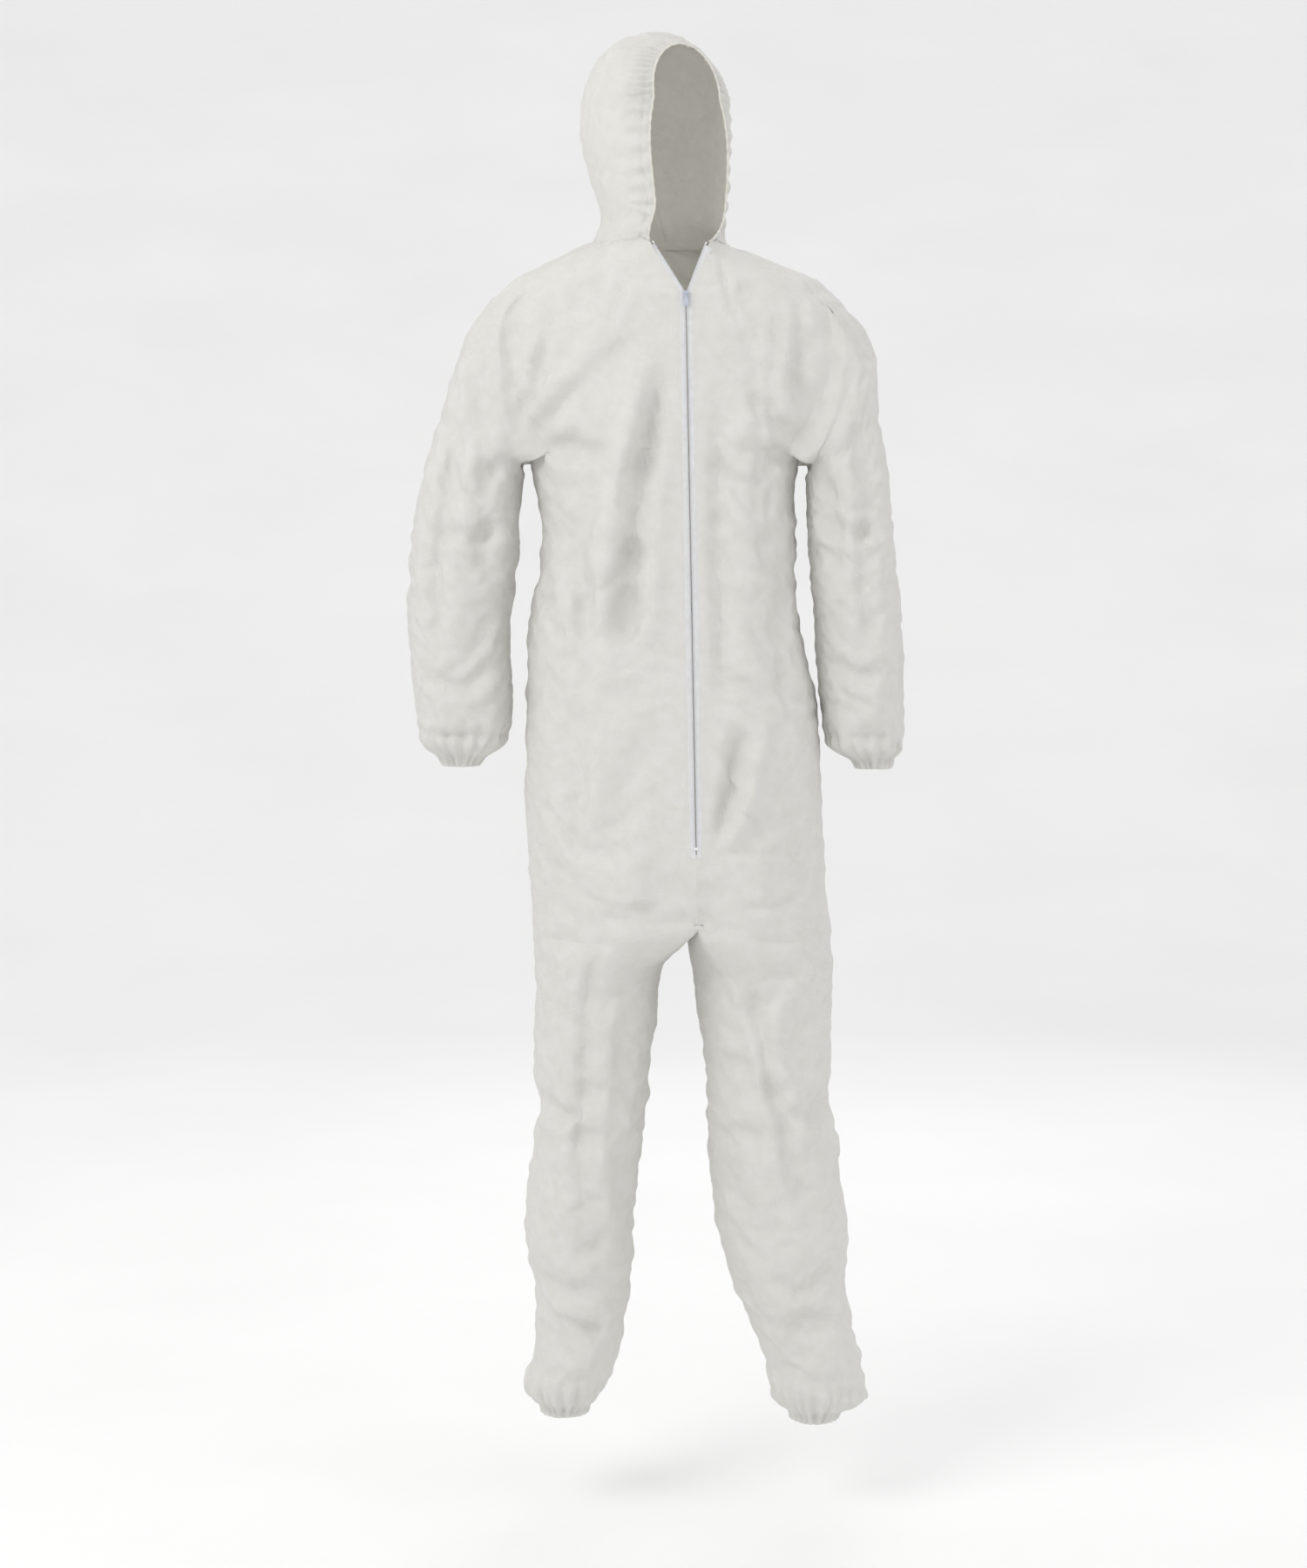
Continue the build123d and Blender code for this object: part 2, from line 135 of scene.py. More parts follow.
# Legs in millimetres: height, right, left, half depth, middle depth
LEG = {
    "right": np.array([
        (-842, -185, -8, 108, 4),
        (-886, -184, -27, 98, 4),
        (-950, -183, -36, 90, 2),
        (-1015, -184, -44, 85, 0),
        (-1048, -176, -46, 83, -2),
        (-1080, -182, -51, 82, 0),
        (-1145, -192, -58, 81, 6),
        (-1209, -197, -64, 78, 10),
        (-1275, -186, -68, 72, 13),
        (-1320, -182, -74, 67, 14),
        (-1372, -188, -84, 62, 15),
        (-1404, -197, -97, 56, 15),
        (-1422, -190, -110, 46, 14),
        (-1432, -176, -121, 32, 14),
        (-1440, -178, -118, 30, 14),
    ]) / MM_PER_M,
    "left": np.array([
        (-842, 0, 182, 108, 4),
        (-886, 10, 183, 98, 4),
        (-950, 19, 181, 90, 2),
        (-1015, 28, 180, 85, 0),
        (-1045, 28, 176, 83, -2),
        (-1080, 29, 186, 82, 0),
        (-1145, 34, 193, 81, 6),
        (-1209, 42, 203, 78, 10),
        (-1275, 60, 200, 72, 13),
        (-1320, 80, 206, 67, 14),
        (-1375, 102, 219, 62, 15),
        (-1406, 107, 224, 56, 15),
        (-1428, 116, 221, 46, 14),
        (-1440, 133, 191, 32, 14),
        (-1448, 132, 192, 30, 14),
    ]) / MM_PER_M,
}
LEG_ROWS = 72
LEG_CUT_ROW = 14

# Hood, in the head's own directions and metres: step, back line (along, height),
# face edge (along, height), half width at the edge and at the widest
HOOD = np.array([
    (0.00, -0.076, 0.011, 0.080, 0.006, 0.047, 0.084),
    (0.12, -0.072, 0.045, 0.082, 0.024, 0.048, 0.073),
    (0.30, -0.098, 0.110, 0.082, 0.055, 0.050, 0.080),
    (0.45, -0.114, 0.165, 0.081, 0.085, 0.053, 0.086),
    (0.60, -0.102, 0.222, 0.079, 0.116, 0.055, 0.089),
    (0.75, -0.058, 0.262, 0.077, 0.144, 0.054, 0.084),
    (0.88, 0.004, 0.273, 0.076, 0.165, 0.051, 0.072),
    (1.00, 0.062, 0.251, 0.074, 0.182, 0.047, 0.048),
])
HOOD_MIDDLE = (-0.034, 0.008)
HOOD_TURN = math.radians(30)

# Creases and soft folds of the front, in millimetres: width, depth (a ridge if negative), then x and height
FRONT_FOLDS = [
    (15, 15, (-3, -110), (-30, -190), (-49, -250), (-65, -356), (-80, -530)),
    (14, -6, (-30, -120), (-72, -250), (-92, -356), (-106, -530)),
    (17, 12, (40, -160), (36, -330), (42, -500), (54, -590)),
    (13, 13, (70, -575), (56, -648), (26, -735)),
    (14, -5, (92, -590), (78, -660), (50, -740)),
    (5, 2.5, (43, 0), (60, -80), (86, -167)),
    (5, -2.2, (93, -30), (96, -200), (92, -380)),
    (7, 4, (141, -45), (136, -110), (141, -192)),
    (10, 7, (-178, -236), (-150, -190), (-112, -160)),
    (10, 6, (-176, -244), (-140, -240), (-100, -262)),
    (9, 6, (-190, -210), (-176, -150), (-168, -100)),
    (10, 7, (130, -244), (100, -200), (66, -176)),
    (10, 6, (132, -256), (104, -252), (84, -300)),
    (12, 6, (143, -210), (140, -150), (150, -100)),
    (12, 5, (-150, -330), (-120, -420), (-115, -520)),
    (10, 4.5, (122, -380), (112, -470), (130, -560)),
    (12, 5, (-140, -560), (-128, -660), (-132, -760)),
    (10, 4, (120, -640), (140, -720), (150, -790)),
    (4, 1.6, (-83, -513), (-11, -513)),
    (4, 1.6, (30, -514), (70, -512)),
    (4, 1.8, (27, -734), (167, -734)),
    (5, 2.4, (-130, -780), (-75, -796), (-27, -799)),
    (5, 2.4, (55, -800), (110, -796), (151, -780)),
    (10, 5, (-40, -796), (-75, -812), (-110, -806)),
    (8, 5, (-95, -815), (-122, -929), (-131, -1091), (-122, -1220)),
    (11, -5, (-70, -850), (-92, -960), (-98, -1100), (-90, -1260)),
    (8, 5, (70, -840), (86, -929), (120, -1080), (167, -1242)),
    (11, -5, (100, -870), (112, -960), (146, -1090), (178, -1180)),
    (10, 6, (-186, -1024), (-160, -1050), (-120, -1062)),
    (10, 6, (184, -1040), (160, -1060), (120, -1062)),
    (9, 5, (-176, -1250), (-140, -1275), (-100, -1262)),
    (9, 5, (-170, -1300), (-130, -1318), (-96, -1340)),
    (9, 5, (100, -1250), (140, -1272), (186, -1246)),
    (9, 5, (120, -1330), (150, -1306), (190, -1320)),
    (10, 6, (-270, -190), (-288, -290), (-300, -400), (-300, -520)),
    (10, 5.5, (-235, -240), (-246, -330), (-240, -420)),
    (9, 5, (-212, -330), (-250, -352), (-300, -345)),
    (9, 5, (-220, -500), (-262, -530), (-322, -520)),
    (10, 6, (205, -180), (222, -290), (216, -400), (226, -530)),
    (10, 5.5, (170, -250), (182, -340), (196, -430)),
    (9, 5, (160, -330), (200, -352), (250, -340)),
    (9, 5, (174, -500), (215, -526), (266, -512)),
]

# The same for the back
BACK_FOLDS = [
    (14, 8, (-150, -230), (-110, -330), (-96, -430)),
    (14, 8, (110, -230), (72, -330), (60, -430)),
    (16, -6, (-70, -180), (-62, -300), (-60, -420)),
    (16, -6, (30, -180), (26, -300), (24, -420)),
    (12, 6, (-120, -450), (-126, -560), (-110, -700)),
    (12, 6, (85, -450), (92, -560), (80, -700)),
    (12, 6, (-30, -450), (-40, -540), (-20, -620)),
    (10, 6, (-150, -830), (-100, -850), (-40, -830)),
    (10, 6, (40, -830), (100, -850), (150, -830)),
    (10, 6, (-176, -1030), (-120, -1046), (-66, -1036)),
    (10, 6, (50, -1036), (110, -1046), (170, -1030)),
    (10, 5.5, (-170, -1070), (-120, -1082), (-74, -1070)),
    (10, 5.5, (60, -1070), (110, -1082), (170, -1070)),
    (10, 5.5, (-320, -400), (-270, -386), (-222, -396)),
    (10, 5.5, (165, -396), (210, -386), (256, -400)),
]

# Gathered round hems: centre x and y, height of the edge, how many pleats, how far they run
HEMS = {
    "sleeve_lower_right": (-0.276, 0.0, -0.636, 19, 0.060),
    "sleeve_lower_left": (0.236, 0.0, -0.639, 19, 0.060),
    "leg_lower_right": (-0.148, 0.014, -1.440, 22, 0.070),
    "leg_lower_left": (0.162, 0.014, -1.448, 22, 0.070),
}
HEM_PLEAT = 0.0026
HEM_CHANNEL = 0.012
FACE_PLEATS = 46
FACE_PLEAT = 0.0022
FACE_PLEAT_RUN = 0.040
SEAM_RIDGE = 0.0011
SEAM_REACH = 0.0045
CLOTH_THICKNESS = 0.0005
SIMULATION_FRAMES = 24
LOOSE_HOLD = 0.07
SIDE_HOLD = 0.36

# Where each piece bends: its two bodies and the ends of the bend
BENDS = {
    "hood": ("trunk", "hood", (0, 0, 0.010), (0, 0, 0.075)),
    "sleeve_upper_right": ("trunk", "upper_sleeve_right", (-0.1957, 0, -0.2471), (-0.2399, 0, -0.2745)),
    "sleeve_upper_left": ("trunk", "upper_sleeve_left", (0.1477, 0, -0.2471), (0.1902, 0, -0.2735)),
    "sleeve_lower_right": ("upper_sleeve_right", "lower_sleeve_right", (0, 0, -0.342), (0, 0, -0.45)),
    "sleeve_lower_left": ("upper_sleeve_left", "lower_sleeve_left", (0, 0, -0.342), (0, 0, -0.45)),
    "leg_upper_right": ("trunk", "upper_leg_right", (0, 0, -0.845), (0, 0, -0.955)),
    "leg_upper_left": ("trunk", "upper_leg_left", (0, 0, -0.845), (0, 0, -0.955)),
    "leg_lower_right": ("upper_leg_right", "lower_leg_right", (0, 0, -0.965), (0, 0, -1.105)),
    "leg_lower_left": ("upper_leg_left", "lower_leg_left", (0, 0, -0.965), (0, 0, -1.105)),
}

# Zip tapes and coil
TAPE_INNER = 0.0006
TAPE_OUTER = 0.0110
TAPE_THICKNESS = 0.0005
TAPE_TAIL = 0.014
COIL_PITCH = 0.0013
COIL_STEPS = 6
COIL_MIDDLE = 0.00135
COIL_HALF_WIDE = 0.00072
COIL_HALF_DEEP = 0.00045
COIL_WIRE = 0.00020

GUSSET_HALF = 0.006

# Elastics
WRIST_RADIUS = 0.023
ANKLE_RADIUS = 0.031
ELASTIC_RIBS = 40
WAIST_ROW = 52

# Length of one step of the garment's grid in its flat cloth coordinates
CLOTH_STEP = 0.008

HARD_PARTS = {
    "slider_body": "slider",
    "pull_tab": "slider",
    "zip_top_stop_left": "zip_stop",
    "zip_top_stop_right": "zip_stop",
    "zip_bottom_stop": "zip_stop",
}

# Studio
FLOOR_Z = -1.56
FLOOR_HALF = 9.0
SWEEP_START = 3.4
SWEEP_HEIGHT = 7.0
WORLD_STRENGTH = 0.88
KEY_POWER = 30.0
SIDE_POWER = 4.0
BACK_POWER = 12.0
CAMERA_DISTANCE = 3.5
CAMERA_Z = -0.36
VIEW_HEIGHT = 1.944
VIEW_CENTRE_X = -0.038
VIEW_CENTRE_Z = -0.659


def smooth_rows(table, at):
    """Rows of a table at new values of its first column, on smooth curves through its rows."""
    keys = table[:, 0]
    if keys[0] > keys[-1]:
        return smooth_rows(table[::-1], at)
    slopes = np.gradient(table, keys, axis=0)
    i = np.clip(np.searchsorted(keys, at) - 1, 0, len(keys) - 2)
    gap = (keys[i + 1] - keys[i])[:, None]
    t = np.clip((at - keys[i]) / (keys[i + 1] - keys[i]), 0, 1)[:, None]
    a = (1 + 2 * t) * (1 - t) ** 2
    b = t * (1 - t) ** 2
    c = t * t * (3 - 2 * t)
    d = t * t * (t - 1)
    return a * table[i] + b * gap * slopes[i] + c * table[i + 1] + d * gap * slopes[i + 1]


def ease(x):
    """0 below 0, 1 above 1, smooth between."""
    x = np.clip(x, 0, 1)
    return x * x * (3 - 2 * x)


def noise(points, size, seed):
    """Smooth pseudo-random values from -1 to 1 with features of about that size."""
    rng = np.random.default_rng(seed)
    total = np.zeros(len(points))
    for _ in range(14):
        direction = rng.normal(size=3)
        direction /= np.linalg.norm(direction)
        wave = rng.uniform(0.7, 1.5) * 2 * math.pi / (2.2 * size)
        total += np.sin(points @ direction * wave + rng.uniform(0, 2 * math.pi))
    return total / 5


def zip_point(height):
    """The zip's line at a height, the two edges of the open V above it: (right, left)."""
    t = (height - ZIP_LOW[2]) / (ZIP_TOP[2] - ZIP_LOW[2])
    if t <= 1:
        middle = ZIP_LOW + (ZIP_TOP - ZIP_LOW) * t
        return middle, middle
    found = []
    for corner in (V_RIGHT, V_LEFT):
        rise = (height - ZIP_TOP[2]) / (corner[2] - ZIP_TOP[2])
        found.append(ZIP_TOP + (corner - ZIP_TOP) * rise)
    return found


def trunk_ring(height, section):
    """One level ring of the trunk, from the zip's left edge round the back to its right edge."""
    _, right, left, front, back = section
    middle_x, half_x = (right + left) / 2, (left - right) / 2
    middle_y, half_y = (front + back) / 2, (back - front) / 2
    edge_right, edge_left = zip_point(max(height, ZIP_LOW[2] - 0.2))
    i = np.arange(COLUMNS + 1)
    t = i / COLUMNS
    shift_left = math.asin(np.clip((edge_left[0] - middle_x) / half_x, -0.9, 0.9))
    shift_right = math.asin(np.clip((edge_right[0] - middle_x) / half_x, -0.9, 0.9))
    angle = 2 * math.pi * t
    angle = angle + shift_left * np.clip(1 - 2 * t, 0, 1) ** 3 + shift_right * np.clip(2 * t - 1, 0, 1) ** 3
    s, c = np.sin(angle), np.cos(angle)
    x = middle_x + half_x * np.sign(s) * np.abs(s) ** 0.88
    y = middle_y - half_y * np.sign(c) * np.abs(c) ** 0.88
    ring = np.stack([x, y, np.full(COLUMNS + 1, height)], axis=1)
    gap = ZIP_GAP * ease((height - ZIP_LOW[2] + 0.03) / 0.015)
    for edge, side, far in ((edge_left, 1, i), (edge_right, -1, COLUMNS - i)):
        start = 0 if side == 1 else COLUMNS
        target = edge + np.array((side * gap, 0.0004, 0))
        target[2] = height
        fade = (1 - ease(far / 11))[:, None]
        ring = ring + (target - ring[start]) * fade
    return ring


def hood_rows():
    """The hood as arcs from the left face edge round the back to the right, from the neck to the brow."""
    steps = np.linspace(0, 1, HOOD_ROWS + 1)
    table = smooth_rows(HOOD, steps)
    found = []
    for t, back_a, back_z, edge_a, edge_z, edge_w, wide in table:
        turn = HOOD_TURN * (0.75 + 0.25 * ease(t / 0.3))
        along = np.array((math.sin(turn), -math.cos(turn), 0))
        across = np.array((math.cos(turn), math.sin(turn), 0))
        wide = max(wide, edge_w * 1.001)
        limit = math.pi - math.asin(edge_w / wide)
        limit = limit + (math.pi / 2 - limit) * ease((t - 0.8) / 0.2)
        phi = np.linspace(limit, -limit, COLUMNS + 1)
        f = (np.cos(phi) - math.cos(limit)) / (1 - math.cos(limit))
        lift = np.sign(f) * np.abs(f) ** 0.9
        a = edge_a + (back_a - edge_a) * f
        z = edge_z + (back_z - edge_z) * lift
        spread = (edge_w - wide * math.sin(limit)) * np.sign(phi) * (np.abs(phi) / limit) ** 4
        g = wide * np.sin(phi) + spread
        base = np.array((HOOD_MIDDLE[0], HOOD_MIDDLE[1], 0))
        row = base + a[:, None] * along + g[:, None] * across
        row[:, 2] = z
        near_neck = 1 - ease(t / 0.16)
        column = np.arange(COLUMNS + 1)
        for start, corner, side in ((0, V_LEFT, 1), (COLUMNS, V_RIGHT, -1)):
            target = corner + np.array((side * ZIP_GAP, 0.0004, 0.004))
            fade = near_neck * (1 - ease(np.abs(column - start) / 12))
            row = row + (target - row[start]) * fade[:, None]
        found.append(row)
    return np.array(found)


class Garment:
    """Vertices and labelled faces of the whole suit before it is cut into pieces."""

    def __init__(self):
        self.points = []
        self.faces = []
        self.labels = []
        self.names = []
        self.cloth = []

    def add(self, points):
        """Adds points and returns their indices."""
        start = len(self.points)
        self.points.extend(np.asarray(points))
        return np.arange(start, start + len(points))

    def quad(self, a, b, c, d, name, i, j):
        """Adds one face of a named piece, at column i and row j of its cloth."""
        if name not in self.names:
            self.names.append(name)
        self.faces.append((int(a), int(b), int(c), int(d)))
        self.labels.append(self.names.index(name))
        self.cloth.extend(((i, j), (i, j + 1), (i + 1, j + 1), (i + 1, j)))

    def tube(self, rows, namer, mirrored=False):
        """Faces between closed rings of indices."""
        count = len(rows[0])
        for j in range(len(rows) - 1):
            for i in range(count):
                near, far = i, (i + 1) % count
                if mirrored:
                    near, far = far, near
                upper, lower = rows[j], rows[j + 1]
                self.quad(upper[near], lower[near], lower[far], upper[far], namer(j, i), i, j)


def build_trunk(suit, hood_base):
    """Trunk grid: rows of indices, with the armholes left out and the zip slit open."""
    heights = TRUNK_TOP - ROW * np.arange(TRUNK_ROWS + 1)
    sections = smooth_rows(TRUNK, heights)
    rows = []
    for j in range(TRUNK_ROWS + 1):
        ring = trunk_ring(heights[j], sections[j])
        ring = ring + (hood_base - ring) * (1 - ease(j / 6))
        valley = ease((-0.745 - heights[j]) / 0.1)
        for centre, inward in ((0, 1), (COLUMNS // 2, -1), (COLUMNS, 1)):
            away = np.abs(np.arange(COLUMNS + 1) - centre)
            ring[:, 1] += inward * CROTCH_IN * valley * np.exp(-((away / 7) ** 2))
            ring[:, 2] += CROTCH_RISE * valley * np.exp(-((away / 7) ** 2))
        if j > ZIP_LOW_ROW:
            indices = suit.add(ring[:-1])
            indices = np.append(indices, indices[0])
        else:
            indices = suit.add(ring)
        rows.append(indices)
    return rows


def in_hole(j, i):
    """Whether the grid face below row j and right of column i lies in an armhole."""
    if not HOLE_TOP_ROW <= j < HOLE_LOW_ROW:
        return False
    return any(c - HOLE_HALF <= i < c + HOLE_HALF for c in (COLUMNS // 4, 3 * COLUMNS // 4))


def trunk_piece(i):
    """Which body panel a trunk face belongs to."""
    side = "left" if i < COLUMNS // 2 else "right"
    quarter = COLUMNS // 4
    front = i < quarter or i >= 3 * quarter
    return ("front_panel_" if front else "back_panel_") + side


def hole_loop(rows, centre):
    """Indices round an armhole, from the shoulder to the front, the underarm, the back and up again."""
    toward_front = -1 if centre < COLUMNS // 2 else 1
    loop = []
    for k in range(HOLE_HALF):
        loop.append(rows[HOLE_TOP_ROW][centre + toward_front * k])
    for j in range(HOLE_TOP_ROW, HOLE_LOW_ROW):
        loop.append(rows[j][centre + toward_front * HOLE_HALF])
    for k in range(HOLE_HALF, -HOLE_HALF, -1):
        loop.append(rows[HOLE_LOW_ROW][centre + toward_front * k])
    for j in range(HOLE_LOW_ROW, HOLE_TOP_ROW, -1):
        loop.append(rows[j][centre - toward_front * HOLE_HALF])
    for k in range(-HOLE_HALF, 0):
        loop.append(rows[HOLE_TOP_ROW][centre + toward_front * k])
    return loop


def loop_shares(points):
    """Each point's share of the way round a closed loop."""
    steps = np.linalg.norm(np.roll(points, -1, axis=0) - points, axis=1)
    return np.concatenate([[0], np.cumsum(steps)[:-1]]) / steps.sum()


def build_sleeve(suit, loop, side):
    """Sleeve rings from the armhole to the wrist."""
    table = SLEEVE[side]
    start = np.array([suit.points[k] for k in loop])
    share = loop_shares(start)
    keyed = np.concatenate([np.linspace(0, 1, len(table))[:, None], table], axis=1)
    length = np.concatenate([[0], np.cumsum(np.linalg.norm(np.diff(
        (table[:, 0:2] + table[:, 2:4]) / 2, axis=0), axis=1))])
    keyed[:, 0] = length / length[-1]
    sections = smooth_rows(keyed, np.linspace(0, 1, SLEEVE_ROWS + 1))
    rows = [np.array(loop)]
    angle = 2 * math.pi * share
    for j in range(1, SLEEVE_ROWS + 1):
        _, ox, oz, ix, iz, deep = sections[j]
        outer, inner = np.array((ox, 0, oz)), np.array((ix, 0, iz))
        c, s = np.cos(angle), np.sin(angle)
        across = np.sign(c) * np.abs(c) ** 0.92
        ring = (outer + inner) / 2 + ((outer - inner) / 2) * across[:, None]
        ring = ring + np.array((0, -deep, 0)) * s[:, None]
        fade = 1 - ease(j / 9)
        ring = ring + (start + (ring.mean(axis=0) - start.mean(axis=0)) - ring) * fade
        rows.append(suit.add(ring))
    names = ("sleeve_upper_" + side, "sleeve_lower_" + side)
    suit.tube(rows, lambda j, i: names[0] if j < SLEEVE_CUT_ROW else names[1], side == "left")
    return rows


def build_legs(suit, bottom):
    """The crotch line and both legs below the trunk's last ring."""
    half = COLUMNS // 2
    ring = np.array([suit.points[k] for k in bottom[:-1]])
    front, back = ring[0], ring[half]
    share = np.linspace(0, 1, CROTCH_STEPS + 2)[1:-1]
    saddle = front + (back - front) * share[:, None]
    saddle[:, 2] -= CROTCH_DIP * np.sin(math.pi * share)
    crotch = list(suit.add(saddle))
    loops = {
        "left": list(bottom[:half + 1]) + crotch[::-1],
        "right": [bottom[0]] + crotch + list(bottom[half:-1]),
    }
    found = {}
    for side, loop in loops.items():
        start = np.array([suit.points[k] for k in loop])
        table = LEG[side]
        heights = np.linspace(table[0, 0], table[-1, 0], LEG_ROWS + 1)
        sections = smooth_rows(table, heights)
        centre = start.mean(axis=0)
        angle = np.unwrap(np.arctan2(start[:, 0] - centre[0], -(start[:, 1] - centre[1])))
        turn = np.sign(angle[-1] - angle[0]) * 2 * math.pi
        even = np.linspace(angle[0], angle[0] + turn, len(loop) + 1)[:-1]
        rows = [np.array(loop)]
        for j in range(1, LEG_ROWS + 1):
            _, right, left, deep, middle = sections[j]
            t = ease(j / 16)
            a = angle * (1 - t) + even * t
            x = (right + left) / 2 + (left - right) / 2 * np.sin(a)
            y = middle - deep * np.cos(a)
            new = np.stack([x, y, np.full(len(loop), heights[j])], axis=1)
            drift = start.copy()
            drift[:, 2] += heights[j] - heights[0]
            new = new + (drift - new) * (1 - ease(j / 5))
            rows.append(suit.add(new))
        found[side] = rows

        def namer(j, i, side=side, even=even):
            part = "upper" if j < LEG_CUT_ROW else "lower"
            face = "front" if math.cos(even[i]) > 0 else "back"
            return f"leg_{part}_{face}_{side}"

        suit.tube(rows, namer)
    return found


def build_suit():
    """The whole garment's grid."""
    suit = Garment()
    hood = hood_rows()
    trunk = build_trunk(suit, hood[0])
    for j in range(TRUNK_ROWS):
        for i in range(COLUMNS):
            if not in_hole(j, i):
                suit.quad(
                    trunk[j][i], trunk[j + 1][i], trunk[j + 1][i + 1], trunk[j][i + 1], trunk_piece(i), i, j)
    sleeves = {}
    for side, centre in (("left", COLUMNS // 4), ("right", 3 * COLUMNS // 4)):
        sleeves[side] = build_sleeve(suit, hole_loop(trunk, centre), side)
    legs = build_legs(suit, trunk[-1])
    rows = [trunk[0]]
    for j in range(1, HOOD_ROWS + 1):
        rows.append(suit.add(hood[j]))
    middle = COLUMNS // 2
    for j in range(HOOD_ROWS):
        for i in range(COLUMNS):
            name = "hood_centre_panel"
            if abs(i + 0.5 - middle) > HOOD_PANEL_HALF:
                name = "hood_side_left" if i < middle else "hood_side_right"
            suit.quad(rows[j + 1][i], rows[j][i], rows[j][i + 1], rows[j + 1][i + 1], name, i, -j)
    return suit, trunk, sleeves, legs, rows


def new_object(name, points, faces, material, smooth=True):
    """A mesh object in the scene."""
    mesh = bpy.data.meshes.new(name)
    mesh.from_pydata([tuple(p) for p in points], [], [tuple(f) for f in faces])
    mesh.materials.append(material)
    mesh.polygons.foreach_set("use_smooth", [smooth] * len(mesh.polygons))
    made = bpy.data.objects.new(name, mesh)
    bpy.context.collection.objects.link(made)
    return made


def positions(mesh, attribute="co"):
    """Vertex positions of a mesh as an array."""
    found = np.empty(len(mesh.vertices) * 3)
    mesh.vertices.foreach_get(attribute, found)
    return found.reshape(-1, 3)


def body_name(label):
    """A piece's name without its front or back."""
    return label.replace("_front", "").replace("_back", "") if label.startswith("leg") else label


def pinned(points, normals, trunk, sleeves, legs, hood):
    """How firmly each vertex is held where the wearer, the elastic and the zip hold the cloth."""
    hold = np.round(LOOSE_HOLD + (SIDE_HOLD - LOOSE_HOLD) * normals[:, 0] ** 2, 2)
    hold[points[:, 2] > -0.09] = 0.35
    hold[points[:, 2] > 0.02] = 0.55
    for rows in (*sleeves.values(), *legs.values()):
        for k, strength in ((-1, 1.0), (-2, 0.95), (-3, 0.7), (-4, 0.5), (-5, 0.4)):
            hold[rows[k]] = strength
    for j in range(ZIP_LOW_ROW + 4):
        for k, strength in ((0, 1.0), (1, 0.9), (2, 0.6), (3, 0.3)):
            hold[trunk[j][k]] = max(hold[trunk[j][k]], strength)
            hold[trunk[j][-1 - k]] = max(hold[trunk[j][-1 - k]], strength)
    for row in hood:
        for k, strength in ((0, 1.0), (1, 0.8), (2, 0.4)):
            hold[row[k]] = max(hold[row[k]], strength)
            hold[row[-1 - k]] = max(hold[row[-1 - k]], strength)
    for k, strength in ((-1, 1.0), (-2, 0.8), (-3, 0.4)):
        hold[hood[k]] = np.maximum(hold[hood[k]], strength)
    return hold


def settle(garment, hold):
    """Lets the cloth sag and buckle, and keeps the result."""
    group = garment.vertex_groups.new(name="hold")
    for strength in np.unique(hold):
        group.add(np.flatnonzero(hold == strength).tolist(), float(strength), "REPLACE")
    cloth = garment.modifiers.new("cloth", "CLOTH")
    settings = cloth.settings
    settings.quality = 6
    settings.mass = 0.12
    settings.tension_stiffness = 18
    settings.compression_stiffness = 14
    settings.shear_stiffness = 6
    settings.bending_stiffness = 0.8
    settings.air_damping = 2
    settings.vertex_group_mass = "hold"
    settings.pin_stiffness = 1.2
    settings.shrink_min = -0.035
    settings.shrink_max = -0.035
    settings.effector_weights.gravity = 0.5
    cloth.collision_settings.use_collision = False
    scene = bpy.context.scene
    cloth.point_cache.frame_start = 1
    cloth.point_cache.frame_end = SIMULATION_FRAMES
    for step in range(1, SIMULATION_FRAMES + 1):
        scene.frame_set(step)
    settled = garment.evaluated_get(bpy.context.evaluated_depsgraph_get())
    result = positions(settled.to_mesh())
    settled.to_mesh_clear()
    garment.modifiers.clear()
    scene.frame_set(1)
    garment.data.vertices.foreach_set("co", result.ravel())
    garment.data.update()


def subdivided(garment):
    """The garment's mesh with each face cut in four, smoothly."""
    garment.modifiers.new("fine", "SUBSURF").levels = 1
    fine = garment.evaluated_get(bpy.context.evaluated_depsgraph_get())
    mesh = bpy.data.meshes.new_from_object(fine)
    garment.modifiers.clear()
    return mesh


def along_line(points, line):
    """Distance of 2-D points to a broken line, and a fade to zero at its two ends."""
    best = np.full(len(points), np.inf)
    share = np.zeros(len(points))
    steps = np.linalg.norm(np.diff(line, axis=0), axis=1)
    before = np.concatenate([[0], np.cumsum(steps)])
    for k, step in enumerate(steps):
        t = np.clip(((points - line[k]) @ (line[k + 1] - line[k])) / step ** 2, 0, 1)
        away = np.linalg.norm(points - line[k] - t[:, None] * (line[k + 1] - line[k]), axis=1)
        near = away < best
        best = np.where(near, away, best)
        share = np.where(near, (before[k] + t * step) / before[-1], share)
    return best, ease(share / 0.25) * ease((1 - share) / 0.25)


def press_folds(points, normals, folds, facing):
    """Presses creases into one face of the suit, each between two low ridges."""
    flat = points[:, (0, 2)]
    wander = np.stack([noise(points, 0.05, 5), noise(points, 0.05, 6)], axis=1) * 0.0035
    strength = ease((normals[:, 1] * facing - 0.15) / 0.4)
    change = np.zeros(len(points))
    for width_mm, depth_mm, *line_mm in folds:
        width = width_mm / MM_PER_M
        away, fade = along_line(flat + wander, np.array(line_mm) / MM_PER_M)
        groove = np.exp(-((away / width) ** 2)) - 0.45 * np.exp(-(((away - 2 * width) / width) ** 2))
        change -= depth_mm / MM_PER_M * groove * fade
    return change * strength


